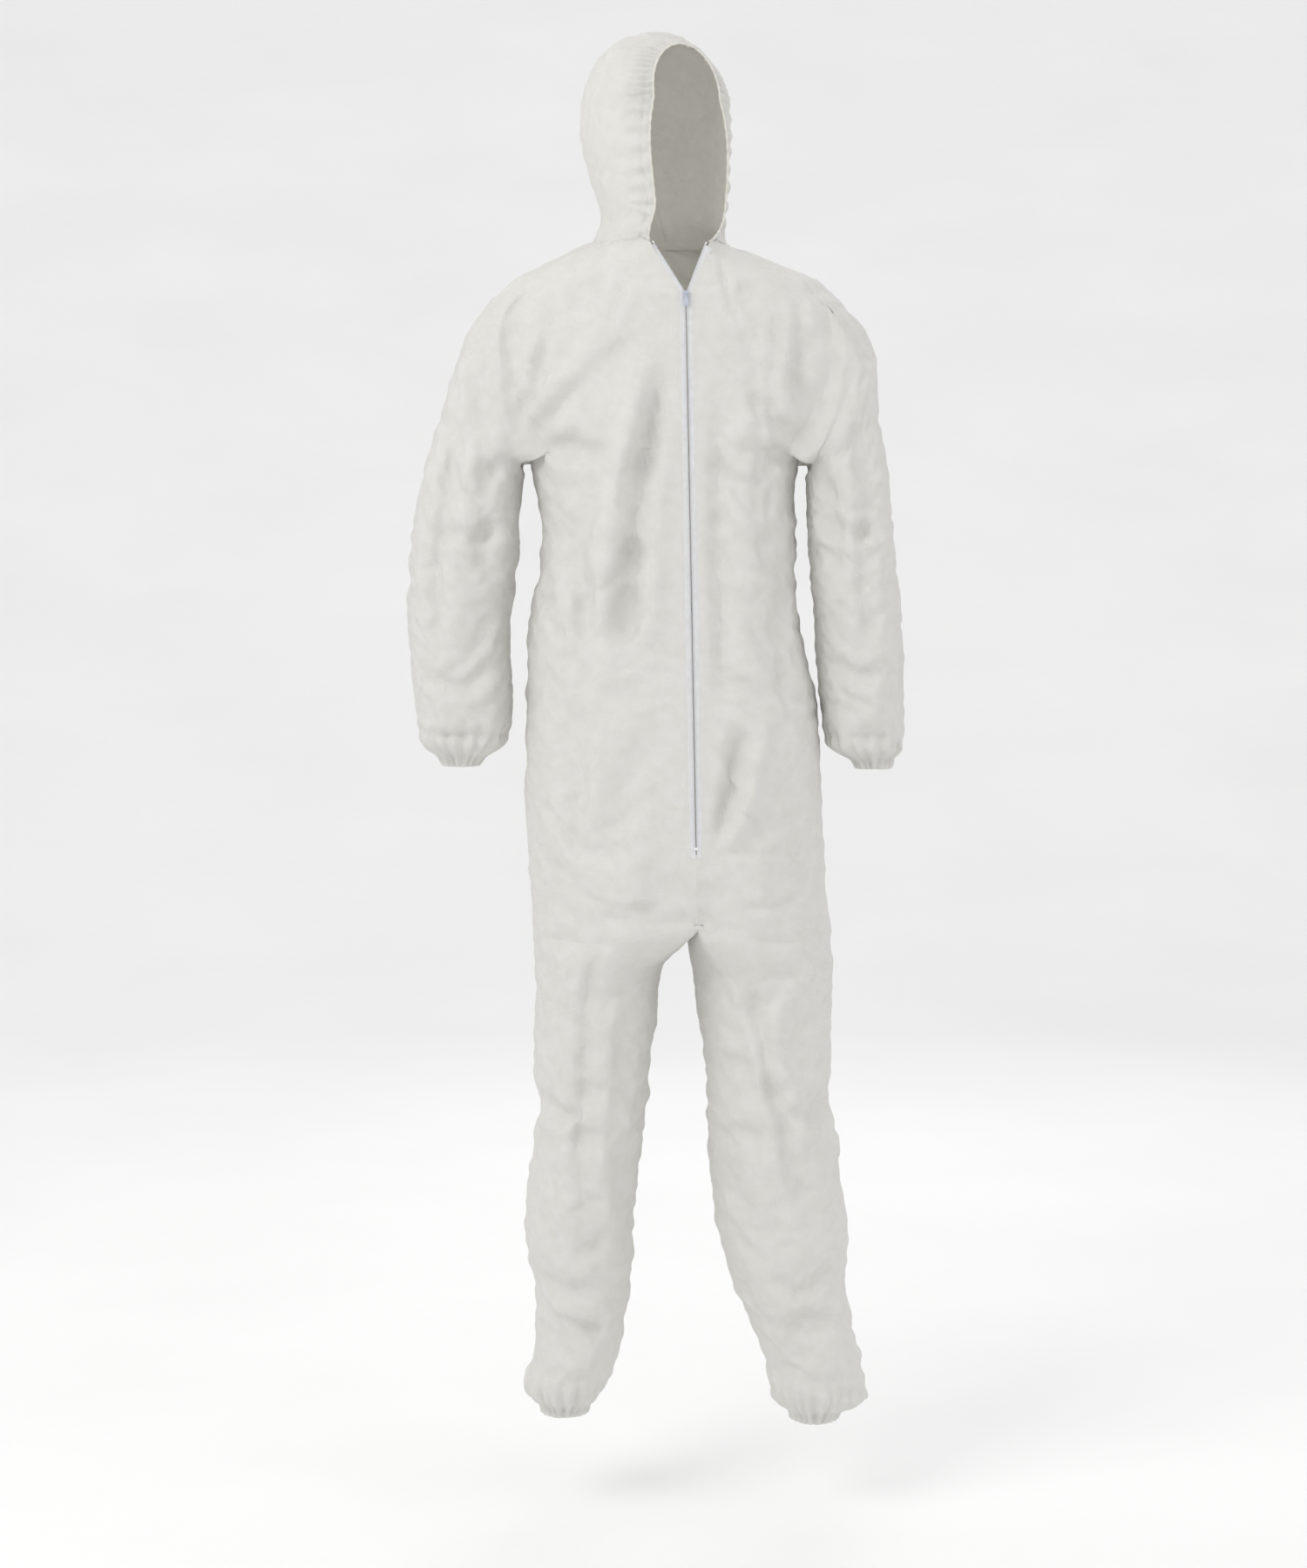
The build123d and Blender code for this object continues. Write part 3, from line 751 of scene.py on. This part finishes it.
def vertex_sets(mesh, names):
    """Each face's label and corners, and which vertices belong to each label."""
    labels = np.empty(len(mesh.polygons), int)
    mesh.polygons.foreach_get("material_index", labels)
    corners = np.empty(len(mesh.loops), int)
    mesh.loops.foreach_get("vertex_index", corners)
    corners = corners.reshape(-1, 4)
    member = np.zeros((len(names), len(mesh.vertices)), bool)
    for k in range(len(names)):
        member[k, corners[labels == k].ravel()] = True
    return labels, corners, member


def gather_hems(points, member, names):
    """Pleats that run up from each round hem, and the flat channel of its elastic."""
    change = np.zeros_like(points)
    for key, (x, y, low, pleats, run) in HEMS.items():
        inside = np.zeros(len(points), bool)
        for k, name in enumerate(names):
            if body_name(name) == key:
                inside |= member[k]
        rise = points[:, 2] - low
        angle = np.arctan2(points[:, 1] - y, points[:, 0] - x)
        phase = 0.9 * np.sin(3 * angle + rise * 40) + 0.5 * np.sin(7 * angle + 1.3)
        wave = np.cos(pleats * angle + phase) + 0.5 * np.cos((pleats // 2 + 2) * angle - phase)
        size = HEM_PLEAT * ease(rise / 0.010 + 0.35) * (1 - ease((rise - 0.012) / run))
        channel = -0.0015 * np.exp(-(((rise - HEM_CHANNEL) / 0.003) ** 2))
        outward = np.stack([np.cos(angle), np.sin(angle), np.zeros(len(angle))], axis=1)
        amount = np.where(inside, wave * size + channel, 0)
        change += outward * amount[:, None]
    return change


def gather_face(points, edge, fine_edge_share):
    """Pleats that run back from the elastic edge of the face opening."""
    away = np.full(len(points), np.inf)
    share = np.zeros(len(points))
    for centre, place in zip(edge, fine_edge_share):
        distance = np.linalg.norm(points - centre, axis=1)
        near = distance < away
        away = np.where(near, distance, away)
        share = np.where(near, place, share)
    wave = np.cos(2 * math.pi * FACE_PLEATS * share + 1.2 * np.sin(19 * share) + 0.6 * np.sin(47 * share))
    fade = ease(away / 0.006 + 0.25) * (1 - ease((away - 0.008) / FACE_PLEAT_RUN))
    channel = -0.0012 * np.exp(-(((away - 0.010) / 0.0025) ** 2))
    return FACE_PLEAT * wave * fade + channel


def sewn_part(label):
    """The cut piece of the real suit that a label belongs to: joints don't part the real cloth."""
    for part in ("front", "back"):
        if part in label:
            return part + label[label.rindex("_"):]
    return label.replace("_upper", "").replace("_lower", "")


def seam_relief(points, member, names):
    """A low ridge along every sewn line, with small puckers beside it."""
    parts = sorted({sewn_part(name) for name in names})
    sewn = np.zeros((len(parts), len(points)), bool)
    for k, name in enumerate(names):
        sewn[parts.index(sewn_part(name))] |= member[k]
    shared = np.flatnonzero(sewn.sum(axis=0) > 1)
    seam = points[shared]
    away = np.full(len(points), np.inf)
    for start in range(0, len(points), 4000):
        block = points[start:start + 4000]
        square = ((block ** 2).sum(axis=1)[:, None] + (seam ** 2).sum(axis=1)[None, :] - 2 * block @ seam.T)
        away[start:start + 4000] = np.sqrt(np.maximum(square.min(axis=1), 0))
    ridge = SEAM_RIDGE * (1 - ease(away / SEAM_REACH))
    pucker = 0.0012 * noise(points, 0.012, 31) * np.exp(-((away / 0.016) ** 2))
    return ridge + pucker


def cloth_piece(name, points, normals, corners, cloth, material):
    """One sewn piece: its outer and inner face and the rim between them."""
    used, local = np.unique(corners, return_inverse=True)
    outer = local.reshape(-1, 4)
    count = len(used)
    edges = np.concatenate([outer[:, (k, (k + 1) % 4)] for k in range(4)])
    backward = {(b, a) for a, b in edges.tolist()}
    rim = [(b, a, a + count, b + count) for a, b in edges.tolist() if (a, b) not in backward]
    inner = outer[:, ::-1] + count
    shell = np.concatenate([points[used], points[used] - normals[used] * CLOTH_THICKNESS])
    made = new_object(name, shell, [*outer.tolist(), *inner.tolist(), *rim], material)
    smooth = [True] * (2 * len(outer)) + [False] * len(rim)
    made.data.polygons.foreach_set("use_smooth", smooth)
    border = {tuple(sorted(pair)) for b, a, c, d in rim for pair in ((a, b), (c, d))}
    for line in made.data.edges:
        line.use_edge_sharp = tuple(sorted(line.vertices)) in border
    layer = made.data.uv_layers.new(name="cloth")
    flat = np.zeros((len(made.data.loops), 2))
    flat[:outer.size] = cloth.reshape(-1, 2)
    flat[outer.size:2 * outer.size] = cloth[:, ::-1].reshape(-1, 2)
    layer.data.foreach_set("uv", flat.ravel())
    return made


def gusset_piece(crotch, material):
    """The small doubled strip sewn inside the crotch."""
    line = resampled(crotch, 0.003) + np.array((0, 0, 0.0035))
    points = []
    for drop, lift in ((0.0015, 0), (0.0015, CLOTH_THICKNESS)):
        for share in np.linspace(-1, 1, 7):
            offset = np.array((share * GUSSET_HALF, 0, lift - drop * share * share))
            points.append(line + offset)
    count = len(line)
    order = [*range(7), *range(13, 6, -1)]
    faces = []
    for k in range(14):
        near, far = order[k] * count, order[(k + 1) % 14] * count
        for i in range(count - 1):
            faces.append((near + i, near + i + 1, far + i + 1, far + i))
    faces.append([k * count for k in order])
    faces.append([k * count + count - 1 for k in order[::-1]])
    made = new_object("crotch_gusset_cloth", np.concatenate(points), faces, material)
    made.data.uv_layers.new(name="cloth")
    return made


def node_material(name):
    """An empty material: its tree and principled shader."""
    material = bpy.data.materials.new(name)
    material.use_nodes = True
    tree = material.node_tree
    return material, tree, tree.nodes["Principled BSDF"]


def add_node(tree, kind, inputs=(), **settings):
    """A node with its settings; inputs are pairs of socket name and value or linked socket."""
    made = tree.nodes.new(kind)
    for key, value in settings.items():
        setattr(made, key, value)
    for key, value in inputs:
        if isinstance(value, bpy.types.NodeSocket):
            tree.links.new(value, made.inputs[key])
        else:
            made.inputs[key].default_value = value
    return made


def ramp(tree, value, low, high, start=0.3, end=0.7):
    """A colour between two colours by a value."""
    made = add_node(tree, "ShaderNodeValToRGB", (("Fac", value),))
    made.color_ramp.elements[0].position = start
    made.color_ramp.elements[0].color = (*low, 1)
    made.color_ramp.elements[1].position = end
    made.color_ramp.elements[1].color = (*high, 1)
    return made.outputs["Color"]


def cloudy(tree, place, scale, detail, distortion=0.0):
    """Fractal noise at each place."""
    inputs = (("Vector", place), ("Scale", scale), ("Detail", detail), ("Distortion", distortion))
    return add_node(tree, "ShaderNodeTexNoise", inputs).outputs["Fac"]


def uneven_gloss(tree, shader, value, low, high):
    """Lets a value drive the roughness between two limits."""
    rough = add_node(tree, "ShaderNodeMapRange", (("Value", value), ("To Min", low), ("To Max", high)))
    tree.links.new(rough.outputs["Result"], shader.inputs["Roughness"])


def bump(tree, height, strength, distance, under=None):
    """The normal of a fine relief, laid over another if there is one."""
    inputs = (("Height", height), ("Strength", strength), ("Distance", distance))
    made = add_node(tree, "ShaderNodeBump", inputs)
    if under is not None:
        tree.links.new(under, made.inputs["Normal"])
    return made.outputs["Normal"]


def nonwoven():
    """Thin white spunbond cloth: bond points, matted fibres, faint handling wear, light shining through."""
    material, tree, shader = node_material("nonwoven")
    uv = add_node(tree, "ShaderNodeUVMap", uv_map="cloth").outputs["UV"]
    place = add_node(tree, "ShaderNodeTexCoord").outputs["Object"]
    bond = add_node(tree, "ShaderNodeTexVoronoi", (("Vector", uv), ("Scale", 480.0), ("Randomness", 0.12)))
    fibre = cloudy(tree, place, 620.0, 8.0, 1.4)
    cloud = cloudy(tree, place, 95.0, 6.0)
    crush = cloudy(tree, place, 26.0, 5.0, 1.8)
    tint = ramp(tree, cloud, (0.845, 0.842, 0.822), (0.880, 0.878, 0.864))
    wear = ramp(tree, crush, (0.965, 0.96, 0.945), (1.0, 1.0, 1.0), 0.35, 0.6)
    layers = ((0, 0.8), (6, tint), (7, wear))
    colour = add_node(tree, "ShaderNodeMix", layers, data_type="RGBA", blend_type="MULTIPLY")
    tree.links.new(colour.outputs[2], shader.inputs["Base Color"])
    uneven_gloss(tree, shader, crush, 0.62, 0.84)
    shader.inputs["Specular IOR Level"].default_value = 0.28
    shader.inputs["Sheen Weight"].default_value = 0.22
    shader.inputs["Sheen Roughness"].default_value = 0.45
    normal = None
    for height, distance in ((crush, 0.0012), (fibre, 0.0004), (bond.outputs["Distance"], 0.0006)):
        normal = bump(tree, height, 0.55, distance, normal)
    tree.links.new(normal, shader.inputs["Normal"])
    glow = (("Color", (0.90, 0.88, 0.82, 1)), ("Normal", normal))
    through = add_node(tree, "ShaderNodeBsdfTranslucent", glow)
    shares = ((0, 0.30), (1, shader.outputs["BSDF"]), (2, through.outputs["BSDF"]))
    mix = add_node(tree, "ShaderNodeMixShader", shares)
    tree.links.new(mix.outputs["Shader"], tree.nodes["Material Output"].inputs["Surface"])
    return material


def woven(name, dark, light, scale, depth):
    """A woven or covered band: crossed threads in relief, with slight soiling."""
    material, tree, shader = node_material(name)
    place = add_node(tree, "ShaderNodeTexCoord").outputs["Object"]
    threads = add_node(tree, "ShaderNodeMath", operation="MULTIPLY")
    for k, direction in enumerate("XZ"):
        inputs = (("Vector", place), ("Scale", scale), ("Distortion", 0.4))
        wave = add_node(tree, "ShaderNodeTexWave", inputs, bands_direction=direction)
        tree.links.new(wave.outputs["Fac"], threads.inputs[k])
    soil = cloudy(tree, place, 120.0, 6.0)
    tree.links.new(ramp(tree, soil, dark, light), shader.inputs["Base Color"])
    uneven_gloss(tree, shader, soil, 0.60, 0.80)
    tree.links.new(bump(tree, threads.outputs["Value"], 0.7, depth), shader.inputs["Normal"])
    shader.inputs["Sheen Weight"].default_value = 0.15
    return material


def moulded(name, dark, light, low_rough, high_rough, metallic, coat):
    """Plastic or enamelled metal: mottled colour, fine scratches and uneven gloss."""
    material, tree, shader = node_material(name)
    place = add_node(tree, "ShaderNodeTexCoord").outputs["Object"]
    mottle = cloudy(tree, place, 900.0, 6.0)
    scratch = cloudy(tree, place, 2600.0, 4.0, 2.5)
    tree.links.new(ramp(tree, mottle, dark, light), shader.inputs["Base Color"])
    uneven_gloss(tree, shader, scratch, low_rough, high_rough)
    tree.links.new(bump(tree, scratch, 0.3, 0.00005), shader.inputs["Normal"])
    shader.inputs["Metallic"].default_value = metallic
    shader.inputs["Coat Weight"].default_value = coat
    return material


def face_edge(coarse, hood):
    """Points along the face opening, then the points between them, and each one's share of the way round."""
    right = [row[-1] for row in hood]
    edge = coarse[[row[0] for row in hood] + list(hood[-1][1:-1]) + right[::-1]]
    share = np.linspace(0, 1, len(edge))
    between = (edge[:-1] + edge[1:]) / 2
    return np.concatenate([edge, between]), np.concatenate([share, (share[:-1] + share[1:]) / 2]), len(edge)


def surface_relief(points, normals, member, names, edge, share):
    """How far each vertex stands out: folds and buckles away from the zip, face pleats and seams."""
    in_hood = member[[name.startswith("hood") for name in names]].any(axis=0)
    relief = press_folds(points, normals, FRONT_FOLDS, -1) + press_folds(points, normals, BACK_FOLDS, 1)
    relief += crumple(points)
    near_zip = np.abs(points[:, 0] - zip_x(points[:, 2]))
    on_front = (points[:, 1] < -0.05) & (points[:, 2] > ZIP_LOW[2] - 0.02)
    relief *= np.where(on_front, ease((near_zip - 0.012) / 0.03), 1)
    relief += np.where(in_hood, gather_face(points, edge, share), 0)
    return relief + seam_relief(points, member, names)


def garment_object(suit, material):
    """The whole grid as one object, each piece's faces marked by their material index."""
    garment = new_object("garment", suit.points, suit.faces, material)
    garment.data.polygons.foreach_set("material_index", suit.labels)
    layer = garment.data.uv_layers.new(name="cloth")
    layer.data.foreach_set("uv", (np.array(suit.cloth, float) * CLOTH_STEP).ravel())
    for _ in suit.names[1:]:
        garment.data.materials.append(material)
    return garment


def build_cloth(material):
    """The sewn pieces of the suit, simulated, creased and gathered."""
    suit, trunk, sleeves, legs, hood = build_suit()
    garment = garment_object(suit, material)
    hold = pinned(positions(garment.data), positions(garment.data, "normal"), trunk, sleeves, legs, hood)
    settle(garment, hold)
    coarse = positions(garment.data)
    mesh = subdivided(garment)
    labels, corners, member = vertex_sets(mesh, suit.names)
    cloth = np.empty(len(mesh.loops) * 2)
    mesh.uv_layers["cloth"].data.foreach_get("uv", cloth)
    cloth = cloth.reshape(-1, 4, 2)
    points, normals = positions(mesh), positions(mesh, "normal")
    edge, share, on_edge = face_edge(coarse, hood)
    relief = surface_relief(points, normals, member, suit.names, edge, share)
    points = points + normals * relief[:, None] + gather_hems(points, member, suit.names)
    mesh.vertices.foreach_set("co", points.ravel())
    mesh.update()
    normals = positions(mesh, "normal")
    found = {}
    for k, name in enumerate(suit.names):
        mine = labels == k
        found[name] = cloth_piece(name + "_cloth", points, normals, corners[mine], cloth[mine], material)
    bpy.data.objects.remove(garment)
    crotch = coarse[[trunk[-1][0], *legs["right"][0][1:CROTCH_STEPS + 1], trunk[-1][COLUMNS // 2]]]
    found["crotch_gusset"] = gusset_piece(crotch, material)
    return found, edge[:on_edge], coarse[trunk[WAIST_ROW][COLUMNS // 4 + 1:3 * COLUMNS // 4]]


def crumple(points):
    """Small random buckles of handled cloth, stronger at the elbows, knees and ankles."""
    depth = 0.0009 * noise(points, 0.030, 11) + 0.0005 * noise(points, 0.011, 12)
    for height, spread in ((-0.385, 0.07), (-1.045, 0.08), (-1.30, 0.08)):
        level = np.stack([points[:, 0], points[:, 1], points[:, 2] * 2.6], axis=1)
        depth += 0.0022 * noise(level, 0.045, 17) * np.exp(-(((points[:, 2] - height) / spread) ** 2))
    return depth


def zip_x(height):
    """The zip line's x at each height."""
    return ZIP_LOW[0] + (ZIP_TOP[0] - ZIP_LOW[0]) * (height - ZIP_LOW[2]) / (ZIP_TOP[2] - ZIP_LOW[2])


def place_cloth(pieces):
    """Makes every sewn piece stand for its CAD node: a piece with a bend entry is fixed where it is, the
    others ride on the trunk.
    """
    for name, piece in pieces.items():
        key = "hood" if name.startswith("hood") else body_name(name)
        if key in BENDS:
            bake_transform(piece)
        else:
            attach(piece, "trunk")
        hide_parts(name)


def zip_path(corner, step, tail=0.0):
    """Points down one side of the zip and a tail below it, with the directions across and into it."""
    found = []
    end = ZIP_LOW + (ZIP_LOW - ZIP_TOP) / np.linalg.norm(ZIP_LOW - ZIP_TOP) * tail
    for upper, lower in ((corner, ZIP_TOP), (ZIP_TOP, end)):
        up = (upper - lower) / np.linalg.norm(upper - lower)
        across = np.cross((0, 1, 0), up)
        across /= np.linalg.norm(across)
        inward = np.cross(up, across)
        count = int(np.linalg.norm(upper - lower) / step)
        start = 0 if upper is corner else 1
        for k in range(start, count + 1):
            found.append((upper + (lower - upper) * k / count, across, inward))
    return [np.array(column) for column in zip(*found)]


def build_tape(name, corner, side, material):
    """One zip tape: flat beside the coil, then turned in under the cloth's edge."""
    centres, across, inward = zip_path(corner, 0.004, TAPE_TAIL)
    outline = [(TAPE_INNER, 0.0), (0.0065, 0.0), (TAPE_OUTER, 0.0016)]
    profile = outline + [(u, v + TAPE_THICKNESS) for u, v in outline[::-1]]
    count = len(profile)
    points = []
    for centre, wide, deep in zip(centres, across, inward):
        for u, v in profile:
            points.append(centre + wide * (side * u) + deep * v)
    faces = [tuple(range(count)), tuple((len(centres) - 1) * count + k for k in range(count))[::-1]]
    for j in range(len(centres) - 1):
        for k in range(count):
            m = (k + 1) % count
            faces.append((j * count + k, (j + 1) * count + k, (j + 1) * count + m, j * count + m))
    if side < 0:
        faces = [face[::-1] for face in faces]
    return new_object(name, points, faces, material, smooth=False)


def tube_along(points, tangents, normals, radius, sides):
    """Vertices and faces of a closed-ended tube along a line; radius may vary."""
    other = np.cross(tangents, normals)
    angle = 2 * math.pi * np.arange(sides) / sides
    c, s = np.cos(angle)[None, :, None], np.sin(angle)[None, :, None]
    ring = normals[:, None, :] * c + other[:, None, :] * s
    vertices = (points[:, None, :] + ring * np.reshape(radius, (-1, 1, 1))).reshape(-1, 3)
    j, k = np.meshgrid(np.arange(len(points) - 1), np.arange(sides), indexing="ij")
    m = (k + 1) % sides
    faces = np.stack([j * sides + k, j * sides + m, (j + 1) * sides + m, (j + 1) * sides + k], axis=-1)
    faces = [tuple(face) for face in faces.reshape(-1, 4).tolist()]
    faces.append(tuple(range(sides))[::-1])
    faces.append(tuple((len(points) - 1) * sides + k for k in range(sides)))
    return vertices, faces


def build_coil(name, corner, side, material):
    """One half of the nylon coil, a flattened spiral along the tape's edge."""
    centres, across, inward = zip_path(corner, COIL_PITCH / COIL_STEPS)
    angle = 2 * math.pi * np.arange(len(centres)) / COIL_STEPS
    out = across * (side * (COIL_MIDDLE + COIL_HALF_WIDE * np.cos(angle)))[:, None]
    deep = inward * (-COIL_HALF_DEEP - 0.00015 + COIL_HALF_DEEP * np.sin(angle))[:, None]
    points = centres + out + deep
    tangents = np.gradient(points, axis=0)
    tangents /= np.linalg.norm(tangents, axis=1)[:, None]
    radial = across * (side * np.cos(angle))[:, None] + inward * np.sin(angle)[:, None]
    radial -= tangents * (radial * tangents).sum(axis=1)[:, None]
    radial /= np.linalg.norm(radial, axis=1)[:, None]
    vertices, faces = tube_along(points, tangents, radial, COIL_WIRE, 4)
    return new_object(name, vertices, faces, material)


def build_zip(tape_material, coil_material):
    """Both tapes and both coil halves, on the trunk."""
    for side_name, corner, side in (("right", V_RIGHT, -1), ("left", V_LEFT, 1)):
        tape = build_tape("woven_zip_tape_" + side_name, corner, side, tape_material)
        coil = build_coil("spiral_zip_coil_" + side_name, corner, side, coil_material)
        for piece, slot in ((tape, "zip_tape"), (coil, "zip_coil")):
            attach(piece, "trunk")
            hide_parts(f"{slot}_{side_name}")


def round_elastic(key, material):
    """The ribbed elastic inside a round hem."""
    x, y, low, _, _ = HEMS[key]
    radius = (WRIST_RADIUS if key.startswith("sleeve") else ANKLE_RADIUS) - 0.005
    angle = np.linspace(0, 2 * math.pi, ELASTIC_RIBS * 4, endpoint=False)
    wave = 0.0003 * np.cos(ELASTIC_RIBS * angle)
    points = []
    for rise, inset in ((-0.004, 0), (0.004, 0), (0.004, 0.001), (-0.004, 0.001)):
        around = radius + wave - inset
        level = np.full(len(angle), low + HEM_CHANNEL / 2 + 0.001 + rise)
        points.append(np.stack([x + around * np.cos(angle), y + around * np.sin(angle), level], axis=1))
    count = len(angle)
    faces = []
    for k in range(4):
        for i in range(count):
            m = (i + 1) % count
            faces.append((k * count + i, k * count + m, (k + 1) % 4 * count + m, (k + 1) % 4 * count + i))
    side = key.rsplit("_", 1)[-1]
    kind = "wrist" if key.startswith("sleeve") else "ankle"
    made = new_object(f"ribbed_{kind}_elastic_{side}", np.concatenate(points), faces, material)
    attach(made, key.replace("sleeve_lower", "lower_sleeve").replace("leg_lower", "lower_leg"))
    return made


def band_elastic(name, line, inward, half_width, material):
    """A flat ribbed elastic along a line of points."""
    steps = np.arange(len(line))
    wave = inward * (0.0004 * np.cos(steps * math.pi / 2))[:, None]
    up = np.array((0, 0, half_width))
    points = np.concatenate([line + wave + up, line + wave - up, line + wave - up + inward * 0.0009,
                             line + wave + up + inward * 0.0009])
    count = len(line)
    faces = []
    for k in range(4):
        for i in range(count - 1):
            m = (k + 1) % 4
            faces.append((k * count + i, k * count + i + 1, m * count + i + 1, m * count + i))
    faces.append(tuple(k * count for k in range(4)))
    faces.append(tuple((4 - k) * count - 1 for k in range(4)))
    return new_object(name, points, faces, material)


def resampled(line, step):
    """A line's points at an even step."""
    lengths = np.concatenate([[0], np.cumsum(np.linalg.norm(np.diff(line, axis=0), axis=1))])
    at = np.linspace(0, lengths[-1], int(lengths[-1] / step) + 1)
    return np.stack([np.interp(at, lengths, line[:, k]) for k in range(3)], axis=1)


def build_elastics(edge, waist, material):
    """The elastics of the hems, the face opening and the waist."""
    made = [round_elastic(key, material) for key in HEMS]
    line = resampled(edge, 0.0016)
    tangents = np.gradient(line, axis=0)
    tangents /= np.linalg.norm(tangents, axis=1)[:, None]
    middle = line.mean(axis=0)
    normals = middle - line
    normals -= tangents * (normals * tangents).sum(axis=1)[:, None]
    normals /= np.linalg.norm(normals, axis=1)[:, None]
    share = np.linspace(0, 1, len(line))
    radius = 0.0013 + 0.00035 * np.cos(2 * math.pi * FACE_PLEATS * share)
    vertices, faces = tube_along(line, tangents, normals, radius, 8)
    face = new_object("ribbed_face_elastic", vertices, faces, material)
    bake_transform(face)
    made.append(face)
    line = resampled(waist, 0.0016)
    inward = np.array((-0.02, 0, 0)) - line
    inward[:, 2] = 0
    inward /= np.linalg.norm(inward, axis=1)[:, None]
    band = band_elastic("ribbed_waist_elastic", line + inward * 0.006, inward, 0.004, material)
    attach(band, "trunk")
    made.append(band)
    for piece in made:
        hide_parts(piece.name.removeprefix("ribbed_"))


def dress_cad(materials):
    """Materials and softened edges on the hard parts that stay as they were drawn."""
    for node, slot in HARD_PARTS.items():
        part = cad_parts[node]
        part.data.materials.clear()
        part.data.materials.append(materials[slot])
        bevel = part.modifiers.new("soft edges", "BEVEL")
        bevel.width = 0.00018
        bevel.segments = 2
        bevel.limit_method = "ANGLE"


def area_light(name, place, aim, size, power, colour):
    """A square studio light aimed at a point."""
    data = bpy.data.lights.new(name, "AREA")
    data.size = size
    data.energy = power
    data.color = colour
    lamp = bpy.data.objects.new(name, data)
    lamp.location = place
    lamp.rotation_euler = (Vector(aim) - Vector(place)).to_track_quat("-Z", "Y").to_euler()
    bpy.context.collection.objects.link(lamp)


def build_studio():
    """Pale floor, soft light and a level camera in front of the suit."""
    floor_material, tree, shader = node_material("floor")
    grain = add_node(tree, "ShaderNodeTexNoise", (("Scale", 30.0), ("Detail", 5.0)))
    paint = ramp(tree, grain.outputs["Fac"], (0.90, 0.90, 0.90), (0.93, 0.93, 0.93))
    tree.links.new(paint, shader.inputs["Base Color"])
    shader.inputs["Roughness"].default_value = 0.8
    depths = np.concatenate([[-FLOOR_HALF], np.linspace(SWEEP_START, FLOOR_HALF, 16)])
    rises = FLOOR_Z + SWEEP_HEIGHT * ease((depths - SWEEP_START) / (FLOOR_HALF - SWEEP_START))
    corners = [(side * FLOOR_HALF, y, z) for y, z in zip(depths, rises) for side in (-1, 1)]
    strips = [(2 * k, 2 * k + 1, 2 * k + 3, 2 * k + 2) for k in range(len(depths) - 1)]
    floor = new_object("floor", corners, strips, floor_material)
    world = bpy.data.worlds.new("studio")
    bpy.context.scene.world = world
    world.use_nodes = True
    background = world.node_tree.nodes["Background"]
    background.inputs["Color"].default_value = (1.0, 1.0, 1.0, 1)
    background.inputs["Strength"].default_value = WORLD_STRENGTH
    area_light("key", (-1.9, -1.9, 1.5), (0, 0, -0.5), 1.6, KEY_POWER, (1.0, 0.99, 0.97))
    area_light("side", (2.2, -0.9, 0.1), (0, 0, -0.6), 1.2, SIDE_POWER, (1.0, 1.0, 1.0))
    area_light("back", (0.5, 2.4, 0.8), (0, 0, -0.5), 2.0, BACK_POWER, (1.0, 1.0, 1.0))
    camera = bpy.data.objects.new("camera", bpy.data.cameras.new("camera"))
    camera.data.sensor_fit = "VERTICAL"
    camera.data.sensor_height = 36
    camera.data.lens = 36 * CAMERA_DISTANCE / VIEW_HEIGHT
    camera.data.shift_y = (VIEW_CENTRE_Z - CAMERA_Z) / VIEW_HEIGHT
    camera.location = (VIEW_CENTRE_X, -CAMERA_DISTANCE, CAMERA_Z)
    camera.rotation_euler = (math.pi / 2, 0, 0)
    bpy.context.collection.objects.link(camera)
    bpy.context.scene.camera = camera
    bpy.context.scene.view_settings.view_transform = "Standard"


cloth_material = nonwoven()
materials = {
    "elastic": woven("elastic", (0.80, 0.77, 0.68), (0.88, 0.86, 0.79), 900.0, 0.0003),
    "zip_tape": woven("zip_tape", (0.72, 0.725, 0.735), (0.79, 0.795, 0.805), 1100.0, 0.0002),
    "zip_coil": moulded("zip_coil", (0.78, 0.79, 0.83), (0.86, 0.87, 0.90), 0.28, 0.45, 0.0, 0.1),
    "zip_stop": moulded("zip_stop", (0.76, 0.77, 0.80), (0.84, 0.85, 0.88), 0.30, 0.48, 0.0, 0.1),
    "slider": moulded("slider", (0.44, 0.48, 0.56), (0.58, 0.62, 0.70), 0.25, 0.45, 0.35, 0.5),
}
pieces, edge, waist = build_cloth(cloth_material)
place_cloth(pieces)
build_zip(materials["zip_tape"], materials["zip_coil"])
build_elastics(edge, waist, materials["elastic"])
dress_cad(materials)
build_studio()
